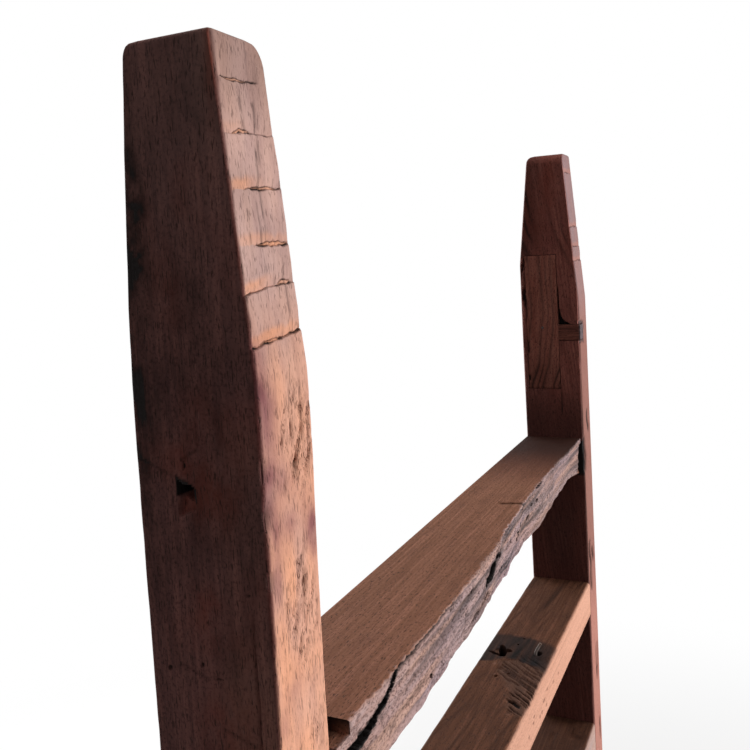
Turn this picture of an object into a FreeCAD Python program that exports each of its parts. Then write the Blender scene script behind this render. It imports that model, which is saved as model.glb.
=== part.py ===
import FreeCAD, Part
import Sketcher
import math
import os
import re

# Decorative ladder of reclaimed hardwood: two stiles with hewn, tapered heads and thick board rungs
# whose stub tenons are pinned from behind, with the repairs and old fixings that the timber carries.
# Millimetres. X runs along the rungs, Y from the front to the back and Z up. The origin is on the
# floor, in the middle of the footprint. Left and right are as seen from the front.

DRIVING_SIZES = [
    ("stile_depth", 66, "front to back of a stile and of a squared rung"),
    ("stile_thickness", 42, "stile across the width of the ladder"),
    ("inner_width", 616, "clear width between the stiles"),
    ("rung_thickness", 40, "height of a rung's edge"),
    ("rung_pitch", 167, "from the top of one rung to the top of the next"),
    ("rung_count", 8, "rungs in the ladder"),
    ("foot_clearance", 171, "floor to the underside of the lowest rung"),
    ("head_length", 320, "stile above the top of the highest rung"),
    ("arris_radius", 2.5, "wear on a stile's corners"),
    ("left_head_drop", 6, "how much lower the left head ends than the right"),
    ("head_round", 11, "rounding of a stile's inner top corner"),
    ("head_wear", 5, "wood worn off the back corner of a stile's top"),
    ("rung_arris", 3, "wear on a rung's long corners"),
    ("left_front_taper", 12, "wood hewn off the front of the left head, at its top"),
    ("left_front_run", 142, "length of that taper"),
    ("left_back_taper", 9, "wood taken off the back of the left head, at its top"),
    ("left_back_run", 126, "length of that taper"),
    ("right_front_taper", 12.5, "wood hewn off the front of the right head, at its top"),
    ("right_front_run", 162, "length of that taper"),
    ("right_back_taper", 13, "wood taken off the back of the right head, at its top"),
    ("right_back_run", 122, "length of that taper"),
    ("kerf_depth", 1.8, "ledge that a stop kerf leaves on the hewn face"),
    ("kerf_rise", 9, "height over which the hewn face scoops out to a ledge"),
    ("tenon_length", 26, "stub tenon past the rung's shoulder"),
    ("tenon_width", 44, "stub tenon, front to back"),
    ("tenon_thickness", 18, "stub tenon, height"),
    ("joint_gap", 0.2, "glue gap around tenons and pegs"),
    ("peg_diameter", 8, "eight-sided peg that pins a tenon, across its corners"),
    ("peg_length", 40, "peg, from the stile's back into the tenon"),
    ("patch_length", 152, "inlaid patch, height"),
    ("patch_width", 36, "inlaid patch, front to back"),
    ("patch_depth", 15, "inlaid patch, into the stile"),
    ("patch_drop", 112, "top of the right stile to the top of the patch"),
    ("patch_margin", 6, "back of the right stile to the patch"),
    ("block_height", 18, "filler block in the notch beside the patch, height"),
    ("block_depth", 18, "filler block, into the stile"),
    ("block_drop", 191, "top of the right stile to the top of the block"),
    ("repair_gap", 0.4, "open joint line around the patch and the block"),
    ("brad_diameter", 1.6, "shank of the brad through the patch"),
    ("brad_length", 28, "brad, head to tip"),
    ("brad_head", 3, "head of the brad, across"),
    ("brad_head_height", 0.8, "head of the brad, thickness"),
    ("hole_width", 9, "old spike hole in the left stile, front to back"),
    ("hole_height", 15, "old spike hole, height"),
    ("hole_depth", 14, "old spike hole, into the stile"),
    ("hole_drop", 186, "top of the left stile to the top of the spike hole"),
    ("hole_margin", 23, "back of the left stile to the spike hole"),
    ("edge_bulge", 6, "how far the waney edge of the top rung stands past the stiles"),
    ("split_length", 78, "split in the waney edge, along the rung"),
    ("split_drop", 24, "split below the top of the rung, at the left stile"),
    ("split_width", 4, "mouth of the split, at the left stile"),
    ("split_depth", 12, "split, into the rung"),
    ("notch_length", 13, "notch in the top rung's corner, along the rung"),
    ("notch_width", 16, "notch in the corner, front to back"),
    ("notch_depth", 7, "notch in the corner, below the top"),
    ("chip_length", 11, "broken lower corner at the right end, along the rung"),
    ("chip_width", 14, "broken lower corner, front to back"),
    ("chip_height", 25, "broken lower corner, height"),
    ("socket_length", 21, "old bolt socket in the second rung, along the rung"),
    ("socket_width", 17, "old bolt socket, across its arms"),
    ("socket_depth", 24, "old bolt socket, below the top"),
    ("socket_place", 120, "middle of the rung to the socket"),
    ("socket_margin", 17.5, "back of the rung to the socket's middle"),
    ("nail_diameter", 2.6, "old nail in the second rung"),
    ("nail_buried", 24, "nail, below the top of the rung"),
    ("nail_bend", 6, "radius of the nail's bend"),
    ("nail_end", 8, "straight end of the nail above its bend"),
    ("nail_place", 123, "middle of the rung to the nail"),
    ("nail_margin", 17, "front of the rung to the nail"),
    ("pit_size", 6, "worn pit round the nail, across"),
    ("pit_depth", 7, "worn pit, below the top"),
    ("overrun", 10, "how far a cut runs past what it cuts"),
]

DERIVED_SIZES = [
    ("half_depth", "=stile_depth / 2"),
    ("half_thickness", "=stile_thickness / 2"),
    ("half_width", "=inner_width / 2"),
    ("half_rung", "=rung_thickness / 2"),
    ("lowest_rung", "=foot_clearance + half_rung"),
    ("stile_height", "=lowest_rung + (rung_count - 1) * rung_pitch + half_rung + head_length"),
    ("footprint_shift", "=edge_bulge / 2"),
    ("patch_back", "=half_depth - patch_margin"),
    ("patch_front", "=patch_back - patch_width"),
    ("left_top", "=stile_height - left_head_drop"),
    ("right_top", "=stile_height"),
    ("patch_top", "=right_top - patch_drop"),
    ("block_top", "=right_top - block_drop"),
    ("hole_top", "=left_top - hole_drop"),
    ("hole_back", "=half_depth - hole_margin"),
]

# Stop kerfs, as shares of the front taper's length from the top of the stile.
LEFT_KERF_SHARES = (0.134, 0.289, 0.451, 0.62, 0.746, 0.901)
RIGHT_KERF_SHARES = (0.148, 0.494, 0.623, 0.722)

# The waney edge: places along the rung as shares of its length from the middle, and how far the edge
# stands out there at the top and the underside, as shares of the bulge.
EDGE_PLACE_SHARES = (-0.5, -0.335, -0.17, -0.07, 0.085, 0.3, 0.5)
EDGE_TOP_SHARES = (0.5, 1.0, 0.92, 0.65, -0.25, -0.83, -0.68)
EDGE_UNDERSIDE_SHARES = (0.43, 0.4, 0.05, -0.45, -1.15, -1.9, -2.3)

# Corners of the spike hole, as shares of its width from the back and of its height from the top, and
# of the ragged socket, as shares of half its length and half its width.
HOLE_CORNER_SHARES = ((0, 0), (0.5, 0.22), (1, 0.12), (0.9, 0.75), (0.55, 1), (0.15, 0.85))
SOCKET_CORNER_SHARES = ((1, 0.38), (0.1, 0.42), (-0.15, 1), (-0.35, 0.9), (-0.3, 0.2), (-1, -0.1),
                        (-0.95, -0.45), (0, -0.4), (0.15, -1), (0.4, -0.85), (0.35, -0.25), (0.95, 0))

NAIL_LEAN_DEGREES = 32
NAIL_TURN_DEGREES = -65
BRAD_PLACE_SHARE = 0.54
PEG_SIDES = 8

doc = FreeCAD.newDocument("decorative_ladder")
sheet = doc.addObject("Spreadsheet::Sheet", "sizes")
for row, (alias, content, *note) in enumerate(DRIVING_SIZES + DERIVED_SIZES, start=1):
    sheet.set(f"A{row}", alias)
    sheet.set(f"B{row}", str(content))
    sheet.setAlias(f"B{row}", alias)
    sheet.set(f"C{row}", note[0] if note else "worked out")
doc.recompute()

ALIASES = {alias for alias, *_ in DRIVING_SIZES + DERIVED_SIZES}
sub_parts = []


def size(text):
    """Value of an expression in the sheet's sizes."""
    return float(sheet.evalExpression(text))


def bind(thing, path, text):
    """Ties a property to an expression in the sheet's sizes."""
    def tied(word):
        return f"sizes.{word.group()}" if word.group() in ALIASES else word.group()
    thing.setExpression(path, re.sub(r"[a-z_]+", tied, text))


def place(thing, x="0", y="0", z="0"):
    """Puts a sub-part in the ladder, with the footprint's middle at the origin."""
    bind(thing, "Placement.Base.x", x)
    bind(thing, "Placement.Base.y", f"footprint_shift + {y}")
    bind(thing, "Placement.Base.z", z)


def new_body(label, **where):
    body = doc.addObject("PartDesign::Body", label)
    body.Label = label
    place(body, **where)
    sub_parts.append(body)
    return body


def sketch_on(body, name, role, offset="0"):
    """Sketch on one of the body's origin planes, moved along the plane's normal."""
    sketch = body.newObject("Sketcher::SketchObject", name)
    plane = next(feature for feature in body.Origin.OriginFeatures if feature.Role == role)
    sketch.AttachmentSupport = [(plane, "")]
    sketch.MapMode = "FlatFace"
    bind(sketch, "AttachmentOffset.Base.z", offset)
    return sketch


def tie_point(sketch, edge, end, x, y):
    """Holds a point of a sketch at two expressions from the sketch's origin."""
    for kind, text in (("DistanceX", x), ("DistanceY", y)):
        number = sketch.addConstraint(Sketcher.Constraint(kind, -1, 1, edge, end, size(text)))
        bind(sketch, f"Constraints[{number}]", text)


def loop(sketch, corners):
    """Closed outline of straight edges through corners given as pairs of expressions."""
    first = sketch.GeometryCount
    points = [FreeCAD.Vector(size(x), size(y)) for x, y in corners]
    for here, there in zip(points, points[1:] + points[:1]):
        sketch.addGeometry(Part.LineSegment(here, there))
    for number, (x, y) in enumerate(corners):
        following = (number + 1) % len(corners)
        sketch.addConstraint(Sketcher.Constraint("Coincident", first + number, 2, first + following, 1))
        tie_point(sketch, first + number, 1, x, y)


def rectangle(sketch, x_low, x_high, y_low, y_high):
    loop(sketch, [(x_low, y_low), (x_high, y_low), (x_high, y_high), (x_low, y_high)])


def circle(sketch, x, y, radius):
    centre = FreeCAD.Vector(size(x), size(y))
    edge = sketch.addGeometry(Part.Circle(centre, FreeCAD.Vector(0, 0, 1), size(radius)))
    tie_point(sketch, edge, 3, x, y)
    number = sketch.addConstraint(Sketcher.Constraint("Radius", edge, size(radius)))
    bind(sketch, f"Constraints[{number}]", radius)


def pad(body, sketch, length, side="Symmetric"):
    feature = body.newObject("PartDesign::Pad", f"{sketch.Name}_pad")
    feature.Profile = sketch
    feature.SideType = side
    bind(feature, "Length", length)
    return feature


def cut(body, sketch, along_normal=False, side="One side"):
    """Cut from the sketch out through the body, along its plane's normal or against it."""
    doc.recompute()
    before = body.Shape.Volume
    feature = body.newObject("PartDesign::Pocket", f"{sketch.Name}_cut")
    feature.Profile = sketch
    feature.SideType = side
    feature.Type = "ThroughAll"
    feature.Reversed = along_normal
    doc.recompute()
    if body.Shape.Volume >= before:
        raise RuntimeError(f"{feature.Name} takes nothing off {body.Label}")
    return feature


def round_edges(body, name, radius, chosen):
    """Fillet on the edges for which chosen, given an edge's box, is true."""
    doc.recompute()
    base = body.Tip
    names = [f"Edge{number}" for number, edge in enumerate(base.Shape.Edges, start=1)
             if chosen(edge.BoundBox)]
    feature = body.newObject("PartDesign::Fillet", name)
    feature.Base = (base, names)
    bind(feature, "Radius", radius)
    return feature


def head_and_foot(body, side, inward):
    """Stile blank: the side view with both tapers, padded to the thickness and rounded all over."""
    outline = sketch_on(body, "side_view", "YZ_Plane")
    loop(outline, [
        ("-half_depth", "0"),
        ("half_depth", "0"),
        ("half_depth", f"{side}_top - {side}_back_run"),
        (f"half_depth - {side}_back_taper * (1 - head_wear / {side}_back_run)", f"{side}_top - head_wear"),
        (f"half_depth - {side}_back_taper - head_wear", f"{side}_top"),
        (f"{side}_front_taper - half_depth", f"{side}_top"),
        ("-half_depth", f"{side}_top - {side}_front_run"),
    ])
    pad(body, outline, "stile_thickness")
    inner_x = size(f"{inward} * half_thickness")
    top = size(f"{side}_top")
    round_edges(body, "inner_top_corner", "head_round",
                lambda box: box.ZMin > top - box.YLength / 2 and box.XLength < box.YLength / 2
                and abs(box.XMax - inner_x) < box.YLength / 2)
    round_edges(body, "worn_arrises", "arris_radius", lambda box: True)


def kerf_ledges(body, side, kerf_shares):
    """Stop kerfs: each leaves a ledge, and the hewn face above it scoops out to meet it."""
    profile = sketch_on(body, "kerfs", "YZ_Plane")
    for share in kerf_shares:
        face = f"{side}_front_taper * (1 - {share}) - half_depth"
        ledge = f"{side}_top - {share} * {side}_front_run"
        scoop_top = f"{face} + {side}_front_taper * kerf_rise / {side}_front_run"
        loop(profile, [
            ("-half_depth - overrun", ledge),
            (f"{face} + kerf_depth", ledge),
            (scoop_top, f"{ledge} + kerf_rise"),
            ("-half_depth - overrun", f"{ledge} + kerf_rise"),
        ])
    cut(body, profile, side="Symmetric")


def rung_mortises(body, inward):
    """Blind mortises for the rungs and, through the back, the holes for their pegs."""
    mortise = sketch_on(body, "mortise", "YZ_Plane",
                        f"{inward} * (half_thickness - tenon_length - joint_gap)")
    rectangle(mortise, "-tenon_width / 2 - joint_gap", "tenon_width / 2 + joint_gap",
              "lowest_rung - tenon_thickness / 2 - joint_gap",
              "lowest_rung + tenon_thickness / 2 + joint_gap")
    mortise_cut = cut(body, mortise, along_normal=inward > 0)
    peg_hole = sketch_on(body, "peg_hole", "XZ_Plane", "peg_length + joint_gap - half_depth")
    circle(peg_hole, f"{inward} * (half_thickness - tenon_length / 2)", "lowest_rung",
           "peg_diameter / 2 + joint_gap")
    peg_hole_cut = cut(body, peg_hole)
    ladder = body.newObject("PartDesign::LinearPattern", "every_rung")
    ladder.Originals = [mortise_cut, peg_hole_cut]
    upright = next(feature for feature in body.Origin.OriginFeatures if feature.Role == "Z_Axis")
    ladder.Direction = (upright, [""])
    ladder.Mode = "Spacing"
    bind(ladder, "Offset", "rung_pitch")
    bind(ladder, "Occurrences", "rung_count")
    body.Tip = ladder


def left_stile():
    body = new_body("left_stile", x="-half_width - half_thickness")
    head_and_foot(body, "left", inward=1)
    kerf_ledges(body, "left", LEFT_KERF_SHARES)
    rung_mortises(body, inward=1)
    hole = sketch_on(body, "spike_hole", "YZ_Plane", "hole_depth - half_thickness")
    loop(hole, [(f"hole_back - {across} * hole_width", f"hole_top - {down} * hole_height")
                for across, down in HOLE_CORNER_SHARES])
    cut(body, hole)


def right_stile():
    body = new_body("right_stile", x="half_width + half_thickness")
    head_and_foot(body, "right", inward=-1)
    kerf_ledges(body, "right", RIGHT_KERF_SHARES)
    rung_mortises(body, inward=-1)
    recess = sketch_on(body, "patch_recess", "YZ_Plane", "patch_depth - half_thickness")
    rectangle(recess, "patch_front - repair_gap", "patch_back + repair_gap",
              "patch_top - patch_length - repair_gap", "patch_top + repair_gap")
    cut(body, recess)
    notch = sketch_on(body, "block_notch", "YZ_Plane", "block_depth - half_thickness")
    rectangle(notch, "-half_depth - overrun", "patch_front - repair_gap",
              "block_top - block_height - repair_gap", "block_top + repair_gap")
    cut(body, notch)
    pilot = sketch_on(body, "brad_pilot", "YZ_Plane", "brad_length + joint_gap - half_thickness")
    circle(pilot, "(patch_front + patch_back) / 2",
           f"patch_top - {BRAD_PLACE_SHARE} * patch_length", "brad_diameter / 2 + joint_gap")
    cut(body, pilot)


def mortise_patch():
    """Patch let into the right stile's inner face over an old mortise, with its brad's hole."""
    body = new_body("mortise_patch", x="half_width")
    face = sketch_on(body, "patch_face", "YZ_Plane")
    rectangle(face, "patch_front", "patch_back", "patch_top - patch_length", "patch_top")
    pad(body, face, "patch_depth", side="One side")
    middle = "(patch_front + patch_back) / 2"
    height = f"patch_top - {BRAD_PLACE_SHARE} * patch_length"
    shank = sketch_on(body, "shank_hole", "YZ_Plane")
    circle(shank, middle, height, "brad_diameter / 2 + joint_gap")
    cut(body, shank, along_normal=True)
    sink = sketch_on(body, "head_sink", "YZ_Plane", "brad_head_height")
    circle(sink, middle, height, "brad_head / 2 + joint_gap")
    cut(body, sink)


def filler_block():
    """Block that fills the notch from the patch out to the stile's front face."""
    body = new_body("filler_block", x="half_width")
    face = sketch_on(body, "block_face", "YZ_Plane")
    rectangle(face, "-half_depth", "patch_front", "block_top - block_height", "block_top")
    pad(body, face, "block_depth", side="One side")


def patch_brad():
    body = new_body("patch_brad", x="half_width", y="(patch_front + patch_back) / 2",
                    z=f"patch_top - {BRAD_PLACE_SHARE} * patch_length")
    for name, radius, length in (("shank", "brad_diameter / 2", "brad_length"),
                                 ("head", "brad_head / 2", "brad_head_height")):
        section = sketch_on(body, name, "YZ_Plane")
        circle(section, "0", "0", radius)
        pad(body, section, length, side="One side")


def tenons(body):
    """Stub tenons at both ends, with the holes that the pegs go into."""
    section = sketch_on(body, "tenon", "YZ_Plane")
    rectangle(section, "-tenon_width / 2", "tenon_width / 2", "-tenon_thickness / 2", "tenon_thickness / 2")
    pad(body, section, "inner_width + 2 * tenon_length")
    holes = sketch_on(body, "peg_holes", "XZ_Plane", "peg_length + joint_gap - half_depth")
    for end in (-1, 1):
        circle(holes, f"{end} * (half_width + tenon_length / 2)", "0", "peg_diameter / 2 + joint_gap")
    cut(body, holes)


def rung_body(number):
    """Empty rung body, its origin in the middle of the rung, counted down from the top."""
    return new_body(f"rung_{number}", z=f"lowest_rung + (rung_count - {number}) * rung_pitch")


def squared_rung(number):
    body = rung_body(number)
    section = sketch_on(body, "section", "YZ_Plane")
    rectangle(section, "-half_depth", "half_depth", "-half_rung", "half_rung")
    pad(body, section, "inner_width")
    round_edges(body, "long_arrises", "rung_arris", lambda box: box.XLength > box.YLength + box.ZLength)
    tenons(body)
    return body


def waney_outline(body, name, level, bulge_shares):
    """Plan of the top rung at one level: straight back and ends, and the waney front as a spline."""
    sketch = sketch_on(body, name, "XY_Plane", level)
    front = [FreeCAD.Vector(size(f"{along} * inner_width"), size(f"-half_depth - {out} * edge_bulge"))
             for along, out in zip(EDGE_PLACE_SHARES, bulge_shares)]
    back_right = FreeCAD.Vector(size("half_width"), size("half_depth"))
    back_left = FreeCAD.Vector(size("-half_width"), size("half_depth"))
    waney = Part.BSplineCurve()
    waney.interpolate(front)
    sketch.addGeometry(waney)
    for here, there in ((front[-1], back_right), (back_right, back_left), (back_left, front[0])):
        sketch.addGeometry(Part.LineSegment(here, there))
    for edge in range(sketch.GeometryCount):
        following = (edge + 1) % sketch.GeometryCount
        sketch.addConstraint(Sketcher.Constraint("Coincident", edge, 2, following, 1))
    return sketch


def top_rung():
    """Rung with a waney front edge, split and notched at its left end and broken at its right."""
    body = rung_body(1)
    loft = body.newObject("PartDesign::AdditiveLoft", "waney_board")
    top = waney_outline(body, "top_outline", "half_rung", EDGE_TOP_SHARES)
    loft.Sections = [waney_outline(body, "underside_outline", "-half_rung", EDGE_UNDERSIDE_SHARES)]
    loft.Profile = top
    loft.Ruled = True
    body.Tip = loft
    back = size("half_depth")
    round_edges(body, "back_arrises", "rung_arris",
                lambda box: box.XLength > box.YLength + box.ZLength and box.YMin > back / 2)
    tenons(body)
    split = sketch_on(body, "split", "XZ_Plane", "half_depth - split_depth")
    loop(split, [
        ("-half_width - overrun", "half_rung - split_drop"),
        ("-half_width - overrun", "half_rung - split_drop - split_width"),
        ("split_length - half_width", "half_rung - split_width / 2"),
        ("split_length - half_width", "half_rung + split_width"),
    ])
    cut(body, split, along_normal=True)
    notch = sketch_on(body, "corner_notch", "XY_Plane", "half_rung - notch_depth")
    rectangle(notch, "-half_width - overrun", "notch_length - half_width",
              "-half_depth - edge_bulge - overrun", "notch_width - half_depth")
    cut(body, notch, along_normal=True)
    chip = sketch_on(body, "broken_corner", "XY_Plane", "chip_height - half_rung")
    loop(chip, [
        ("half_width - chip_length", "-half_depth - overrun"),
        ("half_width + overrun", "-half_depth - overrun"),
        ("half_width + overrun", "chip_width - half_depth"),
        ("half_width", "chip_width - half_depth"),
    ])
    cut(body, chip)


def second_rung():
    """Squared rung with an old bolt socket, and a worn pit round the nail left in it."""
    body = squared_rung(2)
    socket = sketch_on(body, "bolt_socket", "XY_Plane", "half_rung - socket_depth")
    loop(socket, [(f"socket_place + {along} * socket_length / 2",
                   f"half_depth - socket_margin + {across} * socket_width / 2")
                  for along, across in SOCKET_CORNER_SHARES])
    cut(body, socket, along_normal=True)
    for name, depth, radius in (("nail_pit", "pit_depth", "pit_size / 2"),
                                ("nail_hole", "nail_buried", "nail_diameter / 2 + joint_gap")):
        hole = sketch_on(body, name, "XY_Plane", f"half_rung - {depth}")
        circle(hole, "nail_place", "nail_margin - half_depth", radius)
        cut(body, hole, along_normal=True)


def bent_nail():
    """Nail whose shank stands in the second rung and leans over above it: a round section on a path."""
    body = new_body("bent_nail", x="nail_place", y="nail_margin - half_depth",
                    z="lowest_rung + (rung_count - 2) * rung_pitch + half_rung")
    path = sketch_on(body, "path", "XZ_Plane")
    lean = math.radians(NAIL_LEAN_DEGREES)
    radius = size("nail_bend")
    foot = FreeCAD.Vector(0, size("-nail_buried"))
    surface = FreeCAD.Vector(0, 0)
    centre = FreeCAD.Vector(radius, 0)
    bend_end = FreeCAD.Vector(radius - radius * math.cos(lean), radius * math.sin(lean))
    tip = bend_end + FreeCAD.Vector(math.sin(lean), math.cos(lean)) * size("nail_end")
    arc = Part.Circle(centre, FreeCAD.Vector(0, 0, 1), radius)
    path.addGeometry(Part.LineSegment(foot, surface))
    path.addGeometry(Part.ArcOfCircle(arc, math.pi - lean, math.pi))
    path.addGeometry(Part.LineSegment(bend_end, tip))
    path.addConstraint(Sketcher.Constraint("Coincident", 0, 2, 1, 2))
    path.addConstraint(Sketcher.Constraint("Coincident", 1, 1, 2, 1))
    section = sketch_on(body, "section", "XY_Plane", "-nail_buried")
    circle(section, "0", "0", "nail_diameter / 2")
    nail = body.newObject("PartDesign::AdditivePipe", "shank")
    nail.Profile = section
    nail.Spine = (path, ["Edge1", "Edge2", "Edge3"])
    turn = FreeCAD.Rotation(FreeCAD.Vector(0, 0, 1), NAIL_TURN_DEGREES)
    body.Placement = FreeCAD.Placement(body.Placement.Base, turn)


def tenon_pegs():
    """Eight-sided pegs driven through the stiles' backs into the tenons, one for each joint."""
    pegs = []
    for end in (-1, 1):
        for number in range(1, int(size("rung_count")) + 1):
            peg = doc.addObject("Part::Prism", "peg")
            peg.Polygon = PEG_SIDES
            bind(peg, "Circumradius", "peg_diameter / 2")
            bind(peg, "Height", "peg_length")
            peg.Placement.Rotation = FreeCAD.Rotation(FreeCAD.Vector(0, 0, 1), FreeCAD.Vector(0, -1, 0))
            place(peg, x=f"{end} * (half_width + tenon_length / 2)", y="half_depth",
                  z=f"lowest_rung + (rung_count - {number}) * rung_pitch")
            pegs.append(peg)
    group = doc.addObject("Part::Compound", "tenon_pegs")
    group.Label = "tenon_pegs"
    group.Links = pegs
    sub_parts.append(group)


left_stile()
right_stile()
mortise_patch()
filler_block()
patch_brad()
top_rung()
second_rung()
bent_nail()
for rung_number in range(3, int(size("rung_count")) + 1):
    squared_rung(rung_number)
tenon_pegs()
doc.recompute()

for thing in doc.Objects:
    if "Invalid" in thing.State or "Error" in thing.State:
        raise RuntimeError(f"{thing.Label} failed: {thing.State}")
for part in sub_parts:
    if part.Shape.isNull() or not part.Shape.isValid():
        raise RuntimeError(f"{part.Label} has no valid shape")

os.makedirs("parts", exist_ok=True)
for part in sub_parts:
    part.Shape.exportStep(os.path.join("parts", f"{part.Label}.step"))
    box = part.Shape.BoundBox
    print(f"{part.Label}: {len(part.Shape.Solids)} solids, {part.Shape.Volume:.0f} mm3, "
          f"X {box.XMin:.1f} {box.XMax:.1f}, Y {box.YMin:.1f} {box.YMax:.1f}, "
          f"Z {box.ZMin:.1f} {box.ZMax:.1f}")
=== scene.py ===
import math

import bmesh
import bpy
import numpy as np
from mathutils import Euler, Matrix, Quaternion, Vector


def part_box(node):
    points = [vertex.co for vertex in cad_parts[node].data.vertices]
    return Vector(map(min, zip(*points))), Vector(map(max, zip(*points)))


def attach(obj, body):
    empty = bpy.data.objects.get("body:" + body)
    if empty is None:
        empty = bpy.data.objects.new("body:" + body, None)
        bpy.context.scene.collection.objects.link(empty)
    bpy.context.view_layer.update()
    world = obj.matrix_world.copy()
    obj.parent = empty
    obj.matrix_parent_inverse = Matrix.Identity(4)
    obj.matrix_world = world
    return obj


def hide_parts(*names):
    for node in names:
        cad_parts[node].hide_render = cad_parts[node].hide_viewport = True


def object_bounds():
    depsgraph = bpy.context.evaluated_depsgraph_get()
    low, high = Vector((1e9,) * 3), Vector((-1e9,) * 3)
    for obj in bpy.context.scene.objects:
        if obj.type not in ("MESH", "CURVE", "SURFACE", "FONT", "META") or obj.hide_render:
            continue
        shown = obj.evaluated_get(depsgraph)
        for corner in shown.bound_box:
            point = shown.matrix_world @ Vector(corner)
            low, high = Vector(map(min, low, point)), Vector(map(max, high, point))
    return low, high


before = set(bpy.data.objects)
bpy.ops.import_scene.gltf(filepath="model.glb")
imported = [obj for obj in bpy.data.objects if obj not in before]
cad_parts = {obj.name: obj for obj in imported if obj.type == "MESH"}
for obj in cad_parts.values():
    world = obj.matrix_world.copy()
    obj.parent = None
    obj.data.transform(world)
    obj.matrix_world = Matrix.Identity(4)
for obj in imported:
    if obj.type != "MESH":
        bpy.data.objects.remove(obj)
cad_low, cad_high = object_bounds()


# Left stile: the near upright, a square-sawn board of old reclaimed hardwood, hewn to a taper at its head.
# Six stop kerfs cross the taper's front, an old spike left a hole in its outer face, and eight blind
# mortises in its inner face hold the rungs. All lengths here are millimetres; the mesh is made in metres.

MM = 0.001


def ease(low, high, value):
    """Smooth step: 0 below low, 1 above high, and a cubic blend between them. With high below low it falls
    instead of rising."""
    share = np.clip((value - low) / (high - low), 0, 1)
    return share * share * (3 - 2 * share)


def hump(middle, width, value):
    """Bell curve of height 1 round a middle."""
    return np.exp(-((value - middle) / width) ** 2)


def wobble(points, cell, seed):
    """Smooth random field from -1 to 1: a random number at each corner of a lattice of cells of the given
    size, blended across each cell by the smooth step."""
    place = points / np.asarray(cell, dtype=float)
    corner = np.floor(place).astype(np.int64)
    share = place - corner
    share = share * share * (3 - 2 * share)
    total = np.zeros(points.shape[:-1])
    for offset in np.ndindex(2, 2, 2):
        lattice = corner + np.array(offset)
        key = lattice[..., 0] * 73856093 ^ lattice[..., 1] * 19349663 ^ lattice[..., 2] * 83492791
        key = (key + seed * 7919) * 1274126177 & 0x7FFFFFFF
        key = (key ^ key >> 15) * 2246822519 & 0x7FFFFFFF
        weight = np.prod(np.where(offset, share, 1 - share), axis=-1)
        total += weight * (((key ^ key >> 13) & 0xFFFF) / 32767.5 - 1)
    return total


def spread(low, high, pace, closer=(), lines=()):
    """Sample places from low to high: an even pace, a closer pace in some stretches, and two places a hair
    apart at each sharp line."""
    places = np.linspace(low, high, round((high - low) / pace) + 1)
    for start, end, fine in closer:
        places = places[(places < start) | (places > end)]
        places = np.append(places, np.linspace(start, end, round((end - start) / fine) + 1))
    for line in lines:
        places = places[np.abs(places - line) > 0.15]
        places = np.append(places, [line - 0.02, line + 0.02])
    return np.unique(places)


def side(low, high, radius, pace, closer=(), lines=()):
    """Sample places on one side of a section, as shares of its flat stretch between two rounded arrises."""
    inside = (spread(low, high, pace, closer, lines) - low - radius) / (high - low - 2 * radius)
    return inside[(inside > 0.002) & (inside < 0.998)]


def around(axis, stations, a_low, a_high, b_low, b_high, radius, sides, arc=5):
    """Rings of a board with rounded arrises, and the outward direction at each of their points. At every
    station along the axis a ring is a rectangle from low to high across the two axes that follow, with a
    quarter circle at each corner and points at the given shares of each side."""
    limits = (a_low, a_high, b_low, b_high)
    a_low, a_high, b_low, b_high = (np.broadcast_to(limit, stations.shape)[:, None] for limit in limits)
    centre_a = [a_low + radius, a_high - radius, a_high - radius, a_low + radius]
    centre_b = [b_low + radius, b_low + radius, b_high - radius, b_high - radius]
    ring_a, ring_b, out_a, out_b = [], [], [], []
    for corner in range(4):
        following = (corner + 1) % 4
        angle = math.pi + corner * math.pi / 2 + np.linspace(0, math.pi / 2, arc)
        share = np.asarray(sides[corner])
        cosine, sine = round(math.cos(angle[-1])), round(math.sin(angle[-1]))
        ring_a += [centre_a[corner] + radius * np.cos(angle)]
        ring_b += [centre_b[corner] + radius * np.sin(angle)]
        ring_a += [centre_a[corner] + (centre_a[following] - centre_a[corner]) * share + radius * cosine]
        ring_b += [centre_b[corner] + (centre_b[following] - centre_b[corner]) * share + radius * sine]
        out_a += [np.cos(angle), np.full(len(share), cosine)]
        out_b += [np.sin(angle), np.full(len(share), sine)]
    ring_a = np.concatenate(ring_a, axis=1)
    rings, out = np.zeros((2, *ring_a.shape, 3))
    first, second = (axis + 1) % 3, (axis + 2) % 3
    rings[..., axis] = stations[:, None]
    rings[..., first] = ring_a
    rings[..., second] = np.concatenate(ring_b, axis=1)
    out[..., first] = np.concatenate(out_a)
    out[..., second] = np.concatenate(out_b)
    return rings, out


def facing(out, axis, way):
    """How squarely each point faces one way along an axis, from 0 to 1."""
    return np.clip(way * out[..., axis], 0, 1)


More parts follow.
